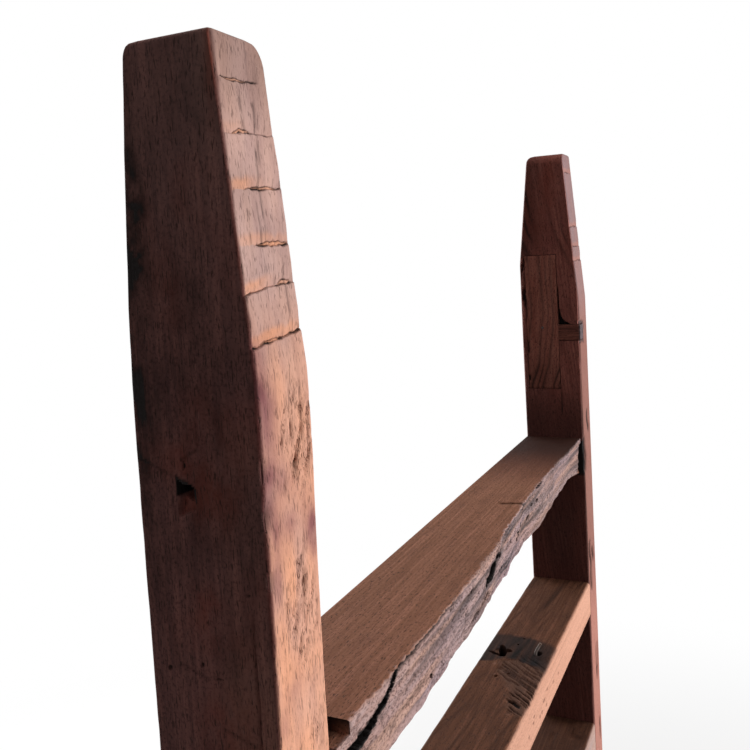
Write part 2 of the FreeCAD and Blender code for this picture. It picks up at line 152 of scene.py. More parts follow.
def closed_board(name, rings, paint, wood):
    """Closed tube of the given wood: quads between neighbouring rings, each end drawn in by three smaller
    rings and a fan. Paint gives one number per ring point for each named attribute, held between 0 and 1.
    Points that a cut has laid on one another are merged."""
    shrink = np.array([0.9, 0.6, 0.3])[:, None, None]
    first = rings[:1].mean(axis=1, keepdims=True)
    last = rings[-1:].mean(axis=1, keepdims=True)
    rings = np.concatenate([first + (rings[:1] - first) * shrink[::-1], rings,
                            last + (rings[-1:] - last) * shrink])
    count, width = rings.shape[:2]
    index = np.arange(count * width).reshape(count, width)
    beside = np.roll(index, -1, axis=1)
    quads = np.stack([index[:-1], beside[:-1], beside[1:], index[1:]], axis=-1).reshape(-1, 4)
    pole = np.full(width, count * width)
    fans = np.concatenate([np.stack([pole, beside[0], index[0]], axis=-1),
                           np.stack([pole + 1, index[-1], beside[-1]], axis=-1)])
    points = np.concatenate([rings.reshape(-1, 3), first[0], last[0]]) * MM
    mesh = bpy.data.meshes.new(name)
    mesh.vertices.add(len(points))
    mesh.vertices.foreach_set("co", points.ravel())
    mesh.loops.add(quads.size + fans.size)
    mesh.loops.foreach_set("vertex_index", np.concatenate([quads.ravel(), fans.ravel()]))
    mesh.polygons.add(len(quads) + len(fans))
    starts = [np.arange(len(quads)) * 4, quads.size + np.arange(len(fans)) * 3]
    mesh.polygons.foreach_set("loop_start", np.concatenate(starts))
    mesh.update(calc_edges=True)
    for key, value in paint.items():
        value = np.concatenate([value[:1]] * 3 + [value] + [value[-1:]] * 3).ravel()
        value = np.clip(np.append(value, [value[0], value[-1]]), 0, 1)
        layer = mesh.attributes.new(key, "FLOAT", "POINT")
        layer.data.foreach_set("value", value.astype(np.float32))
    tidy = bmesh.new()
    tidy.from_mesh(mesh)
    bmesh.ops.remove_doubles(tidy, verts=tidy.verts, dist=1e-6)
    bmesh.ops.dissolve_degenerate(tidy, edges=tidy.edges, dist=1e-6)
    tidy.to_mesh(mesh)
    tidy.free()
    mesh.polygons.foreach_set("use_smooth", np.ones(len(mesh.polygons), dtype=bool))
    mesh.set_sharp_from_angle(angle=math.radians(60))
    mesh.materials.append(wood)
    piece = bpy.data.objects.new(name, mesh)
    bpy.context.scene.collection.objects.link(piece)
    return piece


def linear(colour):
    """sRGB hex colour as linear red, green, blue and alpha."""
    channels = [int(colour[n:n + 2], 16) / 255 for n in (1, 3, 5)]
    return tuple(c / 12.92 if c <= 0.04045 else ((c + 0.055) / 1.055) ** 2.4 for c in channels) + (1.0,)


def node(tree, kind, feeds, give=0, **settings):
    """Adds a shader node, sets its properties, fills each named or numbered input with a value or a link, and
    gives one of its outputs."""
    made = tree.nodes.new("ShaderNode" + kind)
    for key, value in settings.items():
        setattr(made, key, value)
    for key, value in feeds.items():
        if isinstance(value, bpy.types.NodeSocket):
            tree.links.new(value, made.inputs[key])
        else:
            made.inputs[key].default_value = value
    return made.outputs[give] if made.outputs else None


def empty_material(name):
    """New material and its node tree, with nothing in it yet."""
    material = bpy.data.materials.new(name)
    material.use_nodes = True
    material.node_tree.nodes.clear()
    return material, material.node_tree


def reclaimed_hardwood(name, turn, pith, heart, dark, pale, pale_warm, fresh, ring_gap=5.5, figure=5.0,
                       late=0.55, pore=(0.9, 0.09), pit=(1.3, 0.4, 0.56), pit_colour="#3a231e",
                       stain_colour="#383336", mottled=0.6, blotched=0.0, streaky=1.0, gritty=0.3,
                       skin_pores=0.3):
    """Old hardwood, sawn and hewn, worn and lightly oiled: growth rings round a pith line, open pores as dark
    dashes along the grain, fibre streaks, mottling and old saw scores. The painted attributes lay a worn pale
    skin, freshly cut wood, red flushes, small pits and a dark stain over it, and a near-black that gives both
    dark marks and painted shade in hollows, cracks, corners and shaded places. The pale skin and the fresh
    wood also carry a few painted highlights.
    Turn, in degrees, brings the grain upright, and pith is a point on the pith line, in millimetres. Figure
    says how far the rings wander and late how dark they are. Pore and pit give a width in millimetres and how
    much it is drawn out along the grain, and the third number of pit says where in its noise the dots start.
    Mottled, blotched and streaky give the strength of the dark mottling, of the purple blotches on the pale
    skin and of its fibre streaks, gritty that of small dark specks, and skin_pores says how much of the pores
    shows on the pale skin."""
    material, tree = empty_material(name)
    place = node(tree, "TexCoord", {}, give="Object")
    upright = Euler([math.radians(angle) for angle in turn])
    grain = node(tree, "Mapping", {
        "Vector": place, "Rotation": upright, "Location": upright.to_matrix() @ Vector(pith) * -MM})
    scored = node(tree, "Mapping", {"Vector": grain, "Rotation": (math.radians(63), 0, 0)})

    # Noise patterns: what each lies along, how much it is drawn out, its size in millimetres and its detail.
    pattern = {}
    for key, lie, drawn, size, detail in (
            ("patch", grain, 0.3, 45, 3), ("mottle", grain, 0.45, 15, 4), ("fibre", grain, 0.03, 2.1, 3),
            ("vein", grain, 0.02, 5, 2), ("score", scored, 0.03, 1.6, 2), ("speck", grain, 1.0, 1.6, 2),
            ("pore", grain, pore[1], pore[0], 1), ("dot", grain, pit[1], pit[0], 1)):
        stretched = node(tree, "Mapping", {"Vector": lie, "Scale": (1, 1, drawn)})
        pattern[key] = node(tree, "TexNoise", {
            "Vector": stretched, "Scale": 1 / (size * MM), "Detail": detail, "Roughness": 0.6}, give="Fac")
    flat = node(tree, "Mapping", {"Vector": grain, "Scale": (1, 1, 0.22)})

    # The rings: the wave pattern turns through this many radians in each unit of its scale.
    wave_rate = 20
    ring_scale = 2 * math.pi / wave_rate / (ring_gap * MM)
    pattern["rings"] = node(tree, "TexWave", {
        "Vector": flat, "Scale": ring_scale, "Distortion": figure, "Detail": 2.0,
        "Detail Scale": 1 / (ring_scale * 0.035), "Detail Roughness": 0.55,
    }, give="Fac", wave_type="RINGS", rings_direction="Z", wave_profile="SAW")
    paint = {key: node(tree, "Attribute", {}, give="Fac", attribute_name=key)
             for key in ("pale", "fresh", "flush", "pitted", "stain", "marks_and_painted_shade")}

    # How much of each layer shows: its pattern, where that starts and ends, and what it gives there.
    cover = {}
    for key, source, low, high, least, most in (
            ("heart", pattern["fibre"], 0.36, 0.66, 0.0, 1.0),
            ("between", pattern["fibre"], 0.36, 0.66, 0.24 * streaky, 0.0),
            ("warm", pattern["patch"], 0.34, 0.66, 0.0, 1.0),
            ("patches", pattern["patch"], 0.4, 0.66, 0.0, 0.5),
            ("late", pattern["rings"], 0.45, 0.98, 0.0, late),
            ("shade", pattern["mottle"], 0.5, 0.74, 0.0, mottled),
            ("blotch", pattern["mottle"], 0.46, 0.66, 0.0, blotched),
            ("veins", pattern["vein"], 0.58, 0.68, 0.0, 0.3 * streaky),
            ("scores", pattern["score"], 0.6, 0.74, 0.0, 0.3),
            ("pores", pattern["pore"], 0.6, 0.68, 0.0, 0.8),
            ("pits", pattern["dot"], pit[2], pit[2] + 0.09, 0.0, 0.85),
            ("grit", pattern["speck"], 0.5, 0.7, 0.0, gritty),
            ("bare", paint["pale"], 0.0, 1.0, 1.0, skin_pores)):
        cover[key] = node(tree, "MapRange", {
            "Value": source, "From Min": low, "From Max": high, "To Min": least, "To Max": most})
    for key, where in (("pores", cover["bare"]), ("pits", paint["pitted"])):
        cover[key] = node(tree, "Math", {0: cover[key], 1: where}, operation="MULTIPLY")

    body, skin = linear(dark), linear(pale)
    for amount, over in ((cover["heart"], heart), (cover["patches"], dark), (cover["late"], dark),
                         (cover["shade"], "#2b1a1b"), (cover["grit"], "#24141a"), (cover["scores"], dark),
                         (paint["flush"], "#94493a")):
        body = node(tree, "Mix", {0: amount, 6: body, 7: linear(over)}, give=2, data_type="RGBA")
    for amount, over in ((cover["warm"], pale_warm), (paint["fresh"], fresh), (cover["blotch"], "#86656a"),
                         (cover["between"], heart), (cover["veins"], dark)):
        skin = node(tree, "Mix", {0: amount, 6: skin, 7: linear(over)}, give=2, data_type="RGBA")
    colour = body
    # The last layer, near-black, gives dark marks and painted shade in hollows, cracks, corners and shaded
    # places.
    for amount, over in ((paint["pale"], skin), (paint["stain"], linear(stain_colour)),
                         (cover["pores"], linear("#33201b")), (cover["pits"], linear(pit_colour)),
                         (paint["marks_and_painted_shade"], linear("#0d0706"))):
        colour = node(tree, "Mix", {0: amount, 6: colour, 7: over}, give=2, data_type="RGBA")

    height = 0.0
    for source, rise in ((pattern["fibre"], 0.5), (cover["pores"], -0.55), (pattern["speck"], 0.3),
                         (cover["pits"], -0.9), (cover["scores"], -0.4)):
        height = node(tree, "Math", {0: source, 1: rise, 2: height}, operation="MULTIPLY_ADD")
    relief = node(tree, "Bump", {"Height": height, "Strength": 0.6, "Distance": 0.0011})
    gloss = node(tree, "MapRange", {"Value": pattern["speck"], "To Min": 0.6, "To Max": 0.9})
    shader = node(tree, "BsdfPrincipled", {
        "Base Color": colour, "Roughness": gloss, "Normal": relief, "IOR": 1.5, "Specular IOR Level": 0.1})
    node(tree, "OutputMaterial", {"Surface": shader})
    return material


ARRIS = 2.5
HEAD_ROUND = 11.0
BACK_ROUND = 7.0
FOOT_WEAR = 4.0
CORE_FRONT, CORE_BACK, CORE_COVER = -9.0, 31.0, 4.0
FACE_REACH = 4.0
RUNG_COUNT = 8
TENON_LENGTH, TENON_WIDTH, TENON_THICKNESS = 26.0, 44.0, 18.0
UPRIGHT = (0, 0, 0)
left_low, left_high = (np.array(corner) * 1000 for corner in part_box("left_stile"))
right_low, right_high = (np.array(corner) * 1000 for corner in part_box("right_stile"))
mid_depth = (left_low[1] + left_high[1]) / 2
rung_boxes = [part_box(f"rung_{number}") for number in range(1, RUNG_COUNT + 1)]
rung_middles = np.array([(low[2] + high[2]) / 2 for low, high in rung_boxes]) * 1000
mortise_levels = np.concatenate([rung_middles - TENON_THICKNESS / 2, rung_middles + TENON_THICKNESS / 2])
mortise_edges = [mid_depth - TENON_WIDTH / 2, mid_depth + TENON_WIDTH / 2]


def stile_blank(low, high, inner, heights, sides, taper):
    """Upright board: its section's rings at each height, drawn in over the top and foot arrises and over the
    larger rounds of the inner and back top corners, then squeezed in depth towards the head between a core
    that stays and faces that lean in. Taper gives how far each face leans in and over what length."""
    drop, rise = high[2] - heights, heights - low[2]

    def rounding(distance, radius):
        gone = np.clip(radius - distance, 0, radius)
        return radius - np.sqrt(radius ** 2 - gone ** 2)

    edge = rounding(drop, ARRIS) + rounding(rise, FOOT_WEAR)
    inner_edge = np.maximum(edge, rounding(drop, HEAD_ROUND))
    back_edge = np.maximum(edge, rounding(drop, BACK_ROUND))
    left_edge, right_edge = (edge, inner_edge) if inner > 0 else (inner_edge, edge)
    rings, out = around(2, heights, low[0] + left_edge, high[0] - right_edge, low[1] + edge,
                        high[1] - back_edge, ARRIS, sides)
    front_lean, front_run, back_lean, back_run = taper
    front = low[1] + front_lean * np.clip(1 - drop / front_run, 0, 1)[:, None]
    back = high[1] - back_lean * np.clip(1 - drop / back_run, 0, 1)[:, None]
    core_top = np.minimum(CORE_BACK, back - CORE_COVER)
    y = rings[..., 1]
    before = CORE_FRONT - (CORE_FRONT - y) * (CORE_FRONT - front) / (CORE_FRONT - low[1])
    within = CORE_FRONT + (y - CORE_FRONT) * (core_top - CORE_FRONT) / (CORE_BACK - CORE_FRONT)
    behind = core_top + (y - CORE_BACK) * (back - core_top) / (high[1] - CORE_BACK)
    rings[..., 1] = np.where(y < CORE_FRONT, before, np.where(y > CORE_BACK, behind, within))
    return rings, out


def worn_faces(rings, out, seed):
    """Depth lost from a board's faces: broad hollows, hewn ripples along the grain, which is the third axis,
    and arrises, where two parts of the outward direction meet, worn more in some places than in others."""
    corner = 2 * np.abs(out[..., 1]) * (np.abs(out[..., 0]) + np.abs(out[..., 2]))
    lost = 0.35 + 0.35 * wobble(rings, (60, 60, 150), seed) + 0.12 * wobble(rings, (9, 9, 60), seed + 1)
    wear = 0.45 + 0.5 * wobble(rings, 40, seed + 2) + 0.3 * wobble(rings, (9, 9, 8), seed + 3)
    return np.clip(lost + corner * np.clip(wear, -0.3, 3), 0, None)


def kerf_cuts(rings, front, share, kerfs, seed):
    """Stop kerfs across a hewn front: above each line the face is scooped back to a small ledge, and a fine
    torn slit follows the line, which parts in two round a lifted splinter. The slit is painted dark as shade
    and the splinter gets a painted highlight. Each kerf has its level, how much its inner end rises, its
    depth, the shares of the width that it spans, the height of its scoop, and the shares and height of its
    splinter."""
    lost, dark, scooped, lifted_highlight = np.zeros((4, *share.shape))
    across = rings * (1, 0, 0)
    for number, (level, tilt, depth, first, last, scoop, from_share, to_share, lift) in enumerate(kerfs):
        line = level + tilt * (share - 0.5) + 0.5 * wobble(across, 7, seed + number)
        above = rings[..., 2] - line - 0.35 * wobble(across, 2.4, seed + 20 + number)
        reach = ease(first - 0.04, first + 0.08, share) * ease(last + 0.04, last - 0.08, share) * front
        torn = np.clip(0.45 + wobble(across + (0, 0, 50 * number), (3.4, 1, 50), seed + 40), 0, 1)
        bow = lift * np.sin(np.pi * np.clip((share - from_share) / (to_share - from_share), 0, 1)) ** 0.6
        slit = hump(0, 0.18 + 0.34 * torn, above) * reach * (0.3 + 0.7 * torn)
        upper_slit = hump(bow, 0.26, above) * reach * (bow > 0.15 * lift) * (0.35 + 0.6 * torn[:, ::-1])
        ledge = (above > 0) * np.clip(1 - above / scoop, 0, 1) ** 1.3 * reach
        splinter = (above > 0) & (above < bow)
        lost += depth * ledge * np.where(splinter, 0.6, 1) + 0.9 * np.maximum(slit, 0.7 * upper_slit)
        dark = np.maximum(dark, np.maximum(slit, upper_slit))
        lifted_highlight = np.maximum(lifted_highlight, splinter * reach)
        strip = (above > 0) * ease(6.5, 3.0, above + wobble(across, 4, seed + 60)) * front
        scooped = np.maximum(scooped, strip)
    return lost, dark, scooped, lifted_highlight


def checks(rings, across, shown, cracks, seed):
    """Checks along the grain of an upright: narrow grooves round a wandering line, which fade at both ends.
    Each has its place across the face, its lowest and highest point, its width and its depth."""
    lost, dark = np.zeros((2, *across.shape))
    for number, (place, low, high, width, depth) in enumerate(cracks):
        line = place + width * wobble(rings * (0, 0, 1), 14, seed + number)
        ends = ease(low, low + 8, rings[..., 2]) * ease(high, high - 8, rings[..., 2])
        groove = hump(line, width, across) * ends * shown
        lost += depth * groove
        dark = np.maximum(dark, groove)
    return lost, dark


def blots(across, along, places):
    """Soft patches: bells, each with its place across and along, half sizes and strength, added up."""
    total = np.zeros(across.shape)
    for place_a, place_b, half_a, half_b, strength in places:
        total += strength * hump(place_a, half_a, across) * hump(place_b, half_b, along)
    return total


def pocks(across, along, places, core, rim):
    """Small hollows: ovals, each with its place across and along and its half sizes, that are 1 within the
    core's share of those sizes and fall to 0 at the rim's."""
    deepest = np.zeros(across.shape)
    for place_a, place_b, half_a, half_b in places:
        away = np.hypot((across - place_a) / half_a, (along - place_b) / half_b)
        deepest = np.maximum(deepest, ease(rim, core, away))
    return deepest


def mortises(rings, inner, face):
    """Cuts the blind mortises: ring points of the inner face within a mortise's outline go to its floor."""
    x, y, z = np.moveaxis(rings, -1, 0)
    within = (np.abs(y - mid_depth) < TENON_WIDTH / 2) & (np.abs(x - face) < FACE_REACH)
    for middle in rung_middles:
        pocket = within & (np.abs(z - middle) < TENON_THICKNESS / 2)
        rings[..., 0] = np.where(pocket, face - inner * TENON_LENGTH, x)
    return rings


LEFT_TAPER = (12, 142, 9, 126)
LEFT_KERFS = [
    (1675, 2.0, 1.5, 0.1, 0.78, 14, 0.15, 0.6, 1.3), (1653, 2.2, 0.8, 0.05, 0.97, 7, 0.2, 0.52, 1.5),
    (1630, 2.4, 1.1, 0.26, 1.0, 8, 0.35, 0.9, 1.2), (1606, 0.3, 1.1, 0.3, 1.0, 8, 0.4, 0.98, 1.9),
    (1588, 4.2, 1.3, 0.0, 1.0, 9, 0.66, 0.92, 2.0), (1566, 4.6, 1.5, 0.0, 1.0, 10, 0.2, 0.6, 1.0),
]
left_heights = spread(left_low[2], left_high[2], 9.0, closer=[
    (0, 8, 1.0), (1290, 1395, 1.6), (1395, 1555, 0.95), (1555, left_high[2], 0.95),
    *[(level - 3.2, level + 4.2, 0.32) for level, *_ in LEFT_KERFS]], lines=mortise_levels)
left_sides = [
    side(left_low[0], left_high[0], ARRIS, 0.9),
    side(left_low[1], left_high[1], ARRIS, 6.0, lines=mortise_edges),
    np.linspace(0, 1, 11)[1:-1],
    1 - side(left_low[1], left_high[1], ARRIS, 1.9,
             closer=[(-22, -18, 0.6), (3, 15, 0.7), (23, 28, 0.9)])[::-1],
]
rings, out = stile_blank(left_low, left_high, 1, left_heights, left_sides, LEFT_TAPER)
x, y, z = np.moveaxis(rings, -1, 0)
front, back = facing(out, 1, -1), facing(out, 1, 1)
outer, inner_side = facing(out, 0, -1), facing(out, 0, 1)
share = (x - left_low[0]) / (left_high[0] - left_low[0])
lost = worn_faces(rings, out, 11) * np.where(front > 0.95, 1.0, 0.35)
lost = lost + 1.7 * inner_side * ease(1640, 1668, z) + 1.8 * back * hump(1577, 22, z)
kerf_loss, kerf_dark, kerf_scoop, kerf_splinter_highlight = kerf_cuts(rings, front, share, LEFT_KERFS, 31)
swollen = front * hump(1525, 48, z) * ease(0.5, 0.95, share)

# Torn grain on the inner half of the front: bands of fine upright gouges, below the kerfs and by the top
# rung, with longer slashes among them. The outer arris is bitten and bruised.
TORN_BANDS = [(-321, 1524, 14, 25, 1.0), (-324, 1445, 15, 31, 1.0), (-319, 1387, 8, 14, 0.6),
              (-326, 1180, 9, 50, 0.8), (-322, 820, 9, 70, 0.8), (-330, 430, 9, 60, 0.8)]
torn = blots(x, z, TORN_BANDS) + 0.22 * wobble(rings, (5, 5, 12), 78)
torn = ease(0.3, 0.75, torn) * front * ease(0.98, 0.93, share)
leaning = rings - z[..., None] * (0.4, 0, 0)
gouge = wobble(leaning, (1.9, 3, 10), 62) + 0.6 * wobble(leaning, (1.4, 2, 5), 63)
gouge = np.maximum(ease(0.1, 0.8, gouge), 1.4 * ease(0.35, 0.75, wobble(leaning, (3.4, 3, 13), 77))) * torn
bites = hump(0, 3.4, np.hypot(x - left_low[0], y - left_low[1])) * np.clip(front + outer, 0, 1)
bites = bites * ease(0.0, 0.7, wobble(rings * (0, 0, 1), 9, 76)) * ease(1420, 1440, z) * ease(1560, 1540, z)
bruise = front * hump(1497, 6, z) * hump(0.02, 0.1, share)
HEAD_STREAKS = [(-323.5, 1636, 1690, 0.9, 0.15), (-333, 1640, 1678, 0.8, 0.1), (-327, 1606, 1652, 0.8, 0.15),
                (-317, 1568, 1604, 0.7, 0.25), (-331, 1590, 1628, 0.8, 0.2), (-340, 1592, 1640, 0.6, 0.15)]
streak_loss, streak_dark = checks(rings, x, front, HEAD_STREAKS, 91)
TORN_SLASHES = [
    (-325.5, 1517, 1535, 0.7, 1.2), (-317.3, 1515, 1538, 0.7, 1.2), (-333.5, 1516, 1531, 0.6, 0.8),
    (-313, 1506, 1533, 0.7, 1.1), (-323, 1500, 1518, 0.8, 1.3), (-333, 1497, 1511, 0.6, 0.8),
    (-325, 1533, 1550, 0.6, 0.6), (-317.3, 1532, 1550, 0.6, 0.6), (-327, 1457, 1472, 0.8, 1.0),
    (-321, 1450, 1466, 0.8, 1.0),
]
slash_loss, slash_dark = checks(rings, x, front, TORN_SLASHES, 97)

# The spike hole: a ragged slot, deep at its top, where painted shade makes it black, and sloping out to a
# brown foot. Round it are nicks, a long crack and a few scratches, each from one point to another.
HOLE_Y, HOLE_Z, HOLE_HALF = 9.4, 1500.3, 4.8
hole_y = y - HOLE_Y + 0.7 * wobble(rings, (1, 4, 4), 64)
hole_z = z - HOLE_Z + 0.8 * wobble(rings, (1, 3, 3), 65)
hole_high = np.where(hole_z > 0, 6.4 + 0.42 * hole_y, 7.4 + 0.3 * hole_y)
hole_rim = np.maximum(np.abs(hole_y) / HOLE_HALF, np.abs(hole_z) / hole_high)
hole = ease(0.95, 0.78, hole_rim) * outer
hole_top = ease(-0.6, 0.9, hole_z - 0.25 * hole_y + 0.8)
hole_dark = ease(1.28, 1.1, hole_rim) * hole_top * outer
hole_depth = hole * (3.0 + 14 * hole_top + 0.25 * (hole_z + 7))
NICKS = [(25, 1423, 1.0, 1.4), (7.6, 1427, 0.6, 1.6), (-0.6, 1422, 1.6, 0.7), (9.8, 1514.6, 0.6, 1.9),
         (-18.6, 1460.7, 0.7, 0.7), (14, 1633, 0.5, 2.5), (-5, 1342, 0.6, 2.2), (18, 1361, 0.5, 3)]
nicks = pocks(y, z, NICKS, 0.6, 1.2) * outer
crack_loss, crack_dark = checks(rings, y, outer, [(-20.2, 1285, 1456, 0.7, 1.6)], 95)
SCRATCHES = [(33.7, 1517, 17, 1510), (10.8, 1517, 3, 1521.5), (-1.2, 1400, -17.5, 1395),
             (19, 1426, 4.4, 1421)]
scratch = np.zeros(outer.shape)
for y_0, z_0, y_1, z_1 in SCRATCHES:
    from_y, from_z, run_y, run_z = y - y_0, z - z_0, y_1 - y_0, z_1 - z_0
    run = np.clip((from_y * run_y + from_z * run_z) / (run_y ** 2 + run_z ** 2), 0, 1)
    scratch = np.maximum(scratch, hump(0, 0.8, np.hypot(from_y - run * run_y, from_z - run * run_z)) * outer)

lost = lost + kerf_loss + 0.95 * gouge + 1.3 * bruise + 1.7 * bites + streak_loss + slash_loss + hole_depth
lost = lost + 1.2 * nicks + crack_loss + 0.4 * scratch - 1.1 * swollen
rings = mortises(rings - lost[..., None] * out, 1, left_high[0])
x, y, z = np.moveaxis(rings, -1, 0)

# Its colours: damp stains and red flushes on the outer face, purple tints and freshly cut strips on the
# front, each a soft patch.
DAMP_STAINS = [
    (27, 1542, 9, 24, 0.4), (-21, 1478, 8, 13, 0.3), (18, 1473, 12, 12, 0.14), (-13, 1459, 9, 12, 0.1),
    (27, 1640, 9, 46, 0.55), (29, 1606, 7, 24, 0.5), (31, 1530, 8, 50, 0.45), (30, 1345, 7, 50, 0.15),
    (8, 1604, 22, 34, 0.2), (35, 1560, 8, 100, 0.26), (33, 1690, 8, 30, 0.25),
]
RED_FLUSHES = [
    (-5, 1502, 13, 14, 0.5), (0, 1537, 9, 12, 0.25), (7, 1518, 9, 10, 0.3), (2, 1454, 9, 9, 0.3),
    (6, 1440, 13, 8, 0.25), (22, 1517, 10, 9, 0.25), (16, 1598, 7, 16, 0.2), (8, 1585, 6, 16, 0.2),
    (22, 1619, 6, 14, 0.2), (-2, 1400, 12, 14, 0.2), (-17.5, 1684, 2.4, 22, 0.8), (10, 1330, 14, 16, 0.15),
]
PURPLE_TINTS = [
    (-346, 1558, 8, 11, 0.55), (-321, 1500, 15, 9, 0.1), (-344, 1540, 7, 10, 0.95), (-344, 1526, 7, 9, 0.75),
    (-334, 1507, 7, 7, 0.35), (-346, 1502, 7, 9, 0.85), (-343, 1487, 6, 8, 0.5), (-345, 1467, 5, 11, 0.6),
    (-313, 1478, 6, 10, 0.9), (-330, 1489, 10, 8, 0.5), (-343, 1513, 7, 7, 0.35), (-336, 1415, 7, 5, 0.25),
    (-346, 1403, 4, 8, 0.3), (-340, 1380, 8, 8, 0.3), (-310, 1538, 3, 10, 0.3),
]
FRESH_STRIPS = [(0.1, 1656, 0.3, 5, 0.25), (0.2, 1632, 0.32, 6, 0.7), (0.5, 1610, 0.6, 6, 0.55),
                (0.15, 1592, 0.32, 7, 0.8), (0.35, 1571, 0.55, 8, 0.75)]
fresh_strips = np.clip(1.2 * blots(share, z, FRESH_STRIPS), 0, 1) * kerf_scoop
upper = ease(1530, 1600, z)
broken_up = 1 + 0.6 * wobble(rings, (5, 5, 8), 67) + 0.4 * wobble(rings, (1.8, 1.8, 3), 68)
damp = blots(y, z, DAMP_STAINS) + 0.25 * ease(0.1, 0.7, wobble(rings, (26, 26, 60), 69))
red = blots(y, z, RED_FLUSHES) + 0.15 * ease(0.1, 0.6, wobble(rings, (20, 20, 34), 70))
purple = blots(x, z, PURPLE_TINTS)
arris_wide = 0.05 + 0.05 * ease(1610, 1690, z) + 0.025 * wobble(rings, 7, 72) + 0.035 * hump(1500, 70, z)
red_arris = ease(1.0, 0.3, share / arris_wide) * front * (0.5 + 0.5 * ease(1400, 1440, z))
# Painted shade on the head's front: darkest at its top, with a softer band lower down and a small patch by
# the third kerf.
head_shade = ease(1636, 1690, z) * (0.4 + 0.06 * wobble(rings, (14, 14, 30), 75)) + 0.13 * hump(1580, 48, z)
head_shade = head_shade + 0.2 * hump(1630, 13, z) * hump(0.2, 0.3, share)
dashes = ease(-0.3, 0.4, wobble(rings, (2, 2, 5), 73))
blotchy = 1 + 0.5 * wobble(rings, (6, 6, 9), 74)
left_paint = {
    "pale": ease(0.4, 0.95, front) * (0.93 + 0.07 * wobble(rings, (12, 12, 40), 66)) - 0.75 * red_arris
            + 0.11 * outer * ease(1540, 1660, z) + 0.13 * outer * ease(6, -16, y) * ease(1630, 1690, z)
            + 0.045 * outer * ease(4, -22, y) * ease(1545, 1515, z)
            + 0.07 * outer * ease(8, -16, y) * ease(1450, 1420, z),
    "fresh": (0.78 + 0.25 * wobble(rings, (9, 9, 18), 71) - 0.12 * torn - 0.5 * purple) * (1 - upper)
             + 0.9 * fresh_strips + 0.6 * kerf_splinter_highlight,
    "flush": red * broken_up * outer + 0.25 * front * (front < 0.8) * outer + 0.3 * red_arris
             + 0.35 * hole * (1 - hole_top),
    "stain": np.minimum(0.9 * purple * blotchy * front, 0.8),
    "pitted": 0.5 * torn + 0.12 * front * (1 - upper),
    # Painted shade in the kerf slits, the spike hole and the nicks, and over the head's front; the rest
    # darkens real marks and the damp stains.
    "marks_and_painted_shade": kerf_dark + 0.17 * gouge + 0.25 * red_arris + 0.5 * streak_dark * dashes
              + (0.3 + 0.3 * dashes) * slash_dark + 0.35 * bruise + hole_dark + 0.4 * bites + 0.9 * nicks
              + 0.4 * crack_dark + 0.45 * scratch + 0.95 * head_shade * front
              + damp * broken_up * outer * (1 - front),
}
left_stile = closed_board("left_stile_board", rings, left_paint, reclaimed_hardwood(
    "left_stile_reclaimed_hardwood", UPRIGHT, (-300, -60, 0), heart="#a77169", dark="#7d5551",
    pale="#d5b1a9", pale_warm="#d9ad9b", fresh="#fbb38c", ring_gap=6.0, pore=(0.7, 0.13),
    pit=(1.1, 0.3, 0.56), pit_colour="#80543f", stain_colour="#743444", blotched=0.25, streaky=0.45,
    gritty=0.5, skin_pores=0.55))
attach(left_stile, "root")
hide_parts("left_stile")


# Right stile: the far upright, of the same old timber, with four kerfs on its hewn head. Its inner face is
# cut away for a patch over an old mortise, and notched to its front for the block beside the patch.

REPAIR_GAP = 0.4
ROT_REACH = 9.0
patch_low, patch_high = (np.array(corner) * 1000 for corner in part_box("mortise_patch"))
block_low, block_high = (np.array(corner) * 1000 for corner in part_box("filler_block"))
recess_low, recess_high = patch_low - REPAIR_GAP, patch_high + REPAIR_GAP
notch_low, notch_high = block_low - REPAIR_GAP, block_high + REPAIR_GAP
RIGHT_TAPER = (12.5, 162, 13, 122)
RIGHT_KERFS = [
    (1679, 0.5, 0.9, 0.0, 0.9, 7, 0.2, 0.5, 1.2), (1618, 0.8, 1.1, 0.0, 1.0, 8, 0.4, 0.8, 1.5),
    (1596, 0.0, 0.8, 0.1, 1.0, 7, 0.1, 0.4, 1.0), (1580, 0.0, 1.1, 0.0, 1.0, 9, 0.5, 0.9, 1.0),
]
right_heights = spread(right_low[2], right_high[2], 9.0, closer=[
    (0, 8, 1.0), (1040, 1260, 2.5), (1260, 1430, 2.0), (1430, 1600, 1.0), (1600, right_high[2], 1.1),
    *[(level - 3, level + 4, 0.45) for level, *_ in RIGHT_KERFS]],
    lines=[*mortise_levels, recess_low[2], recess_high[2], notch_low[2], notch_high[2]])
right_sides = [
    side(right_low[0], right_high[0], ARRIS, 1.1, lines=[notch_high[0]]),
    np.linspace(0, 1, 12)[1:-1], np.linspace(0, 1, 10)[1:-1],
    1 - side(right_low[1], right_high[1], ARRIS, 1.3,
             lines=[*mortise_edges, recess_low[1], recess_high[1]])[::-1],
]
rings, out = stile_blank(right_low, right_high, -1, right_heights, right_sides, RIGHT_TAPER)
x, y, z = np.moveaxis(rings, -1, 0)
front, inside = facing(out, 1, -1), facing(out, 0, -1)
share = (x - right_low[0]) / (right_high[0] - right_low[0])
kerf_loss, kerf_dark, kerf_scoop, _ = kerf_cuts(rings, front, share, RIGHT_KERFS, 131)
RIGHT_FRONT_CHECKS = [(332, 1090, 1133, 1.7, 1.5), (340.5, 1090, 1133, 1.7, 1.5), (336.5, 1083, 1103, 3.8, 4),
                      (322, 1196, 1262, 3.8, 3), (334, 1226, 1250, 3.4, 2.5), (314, 1338, 1384, 3.6, 3),
                      (333, 1380, 1412, 3.0, 2), (338, 1010, 1040, 3.0, 2), (318, 960, 985, 2.6, 2)]
check_loss, check_dark = checks(rings, x, front, RIGHT_FRONT_CHECKS, 141)

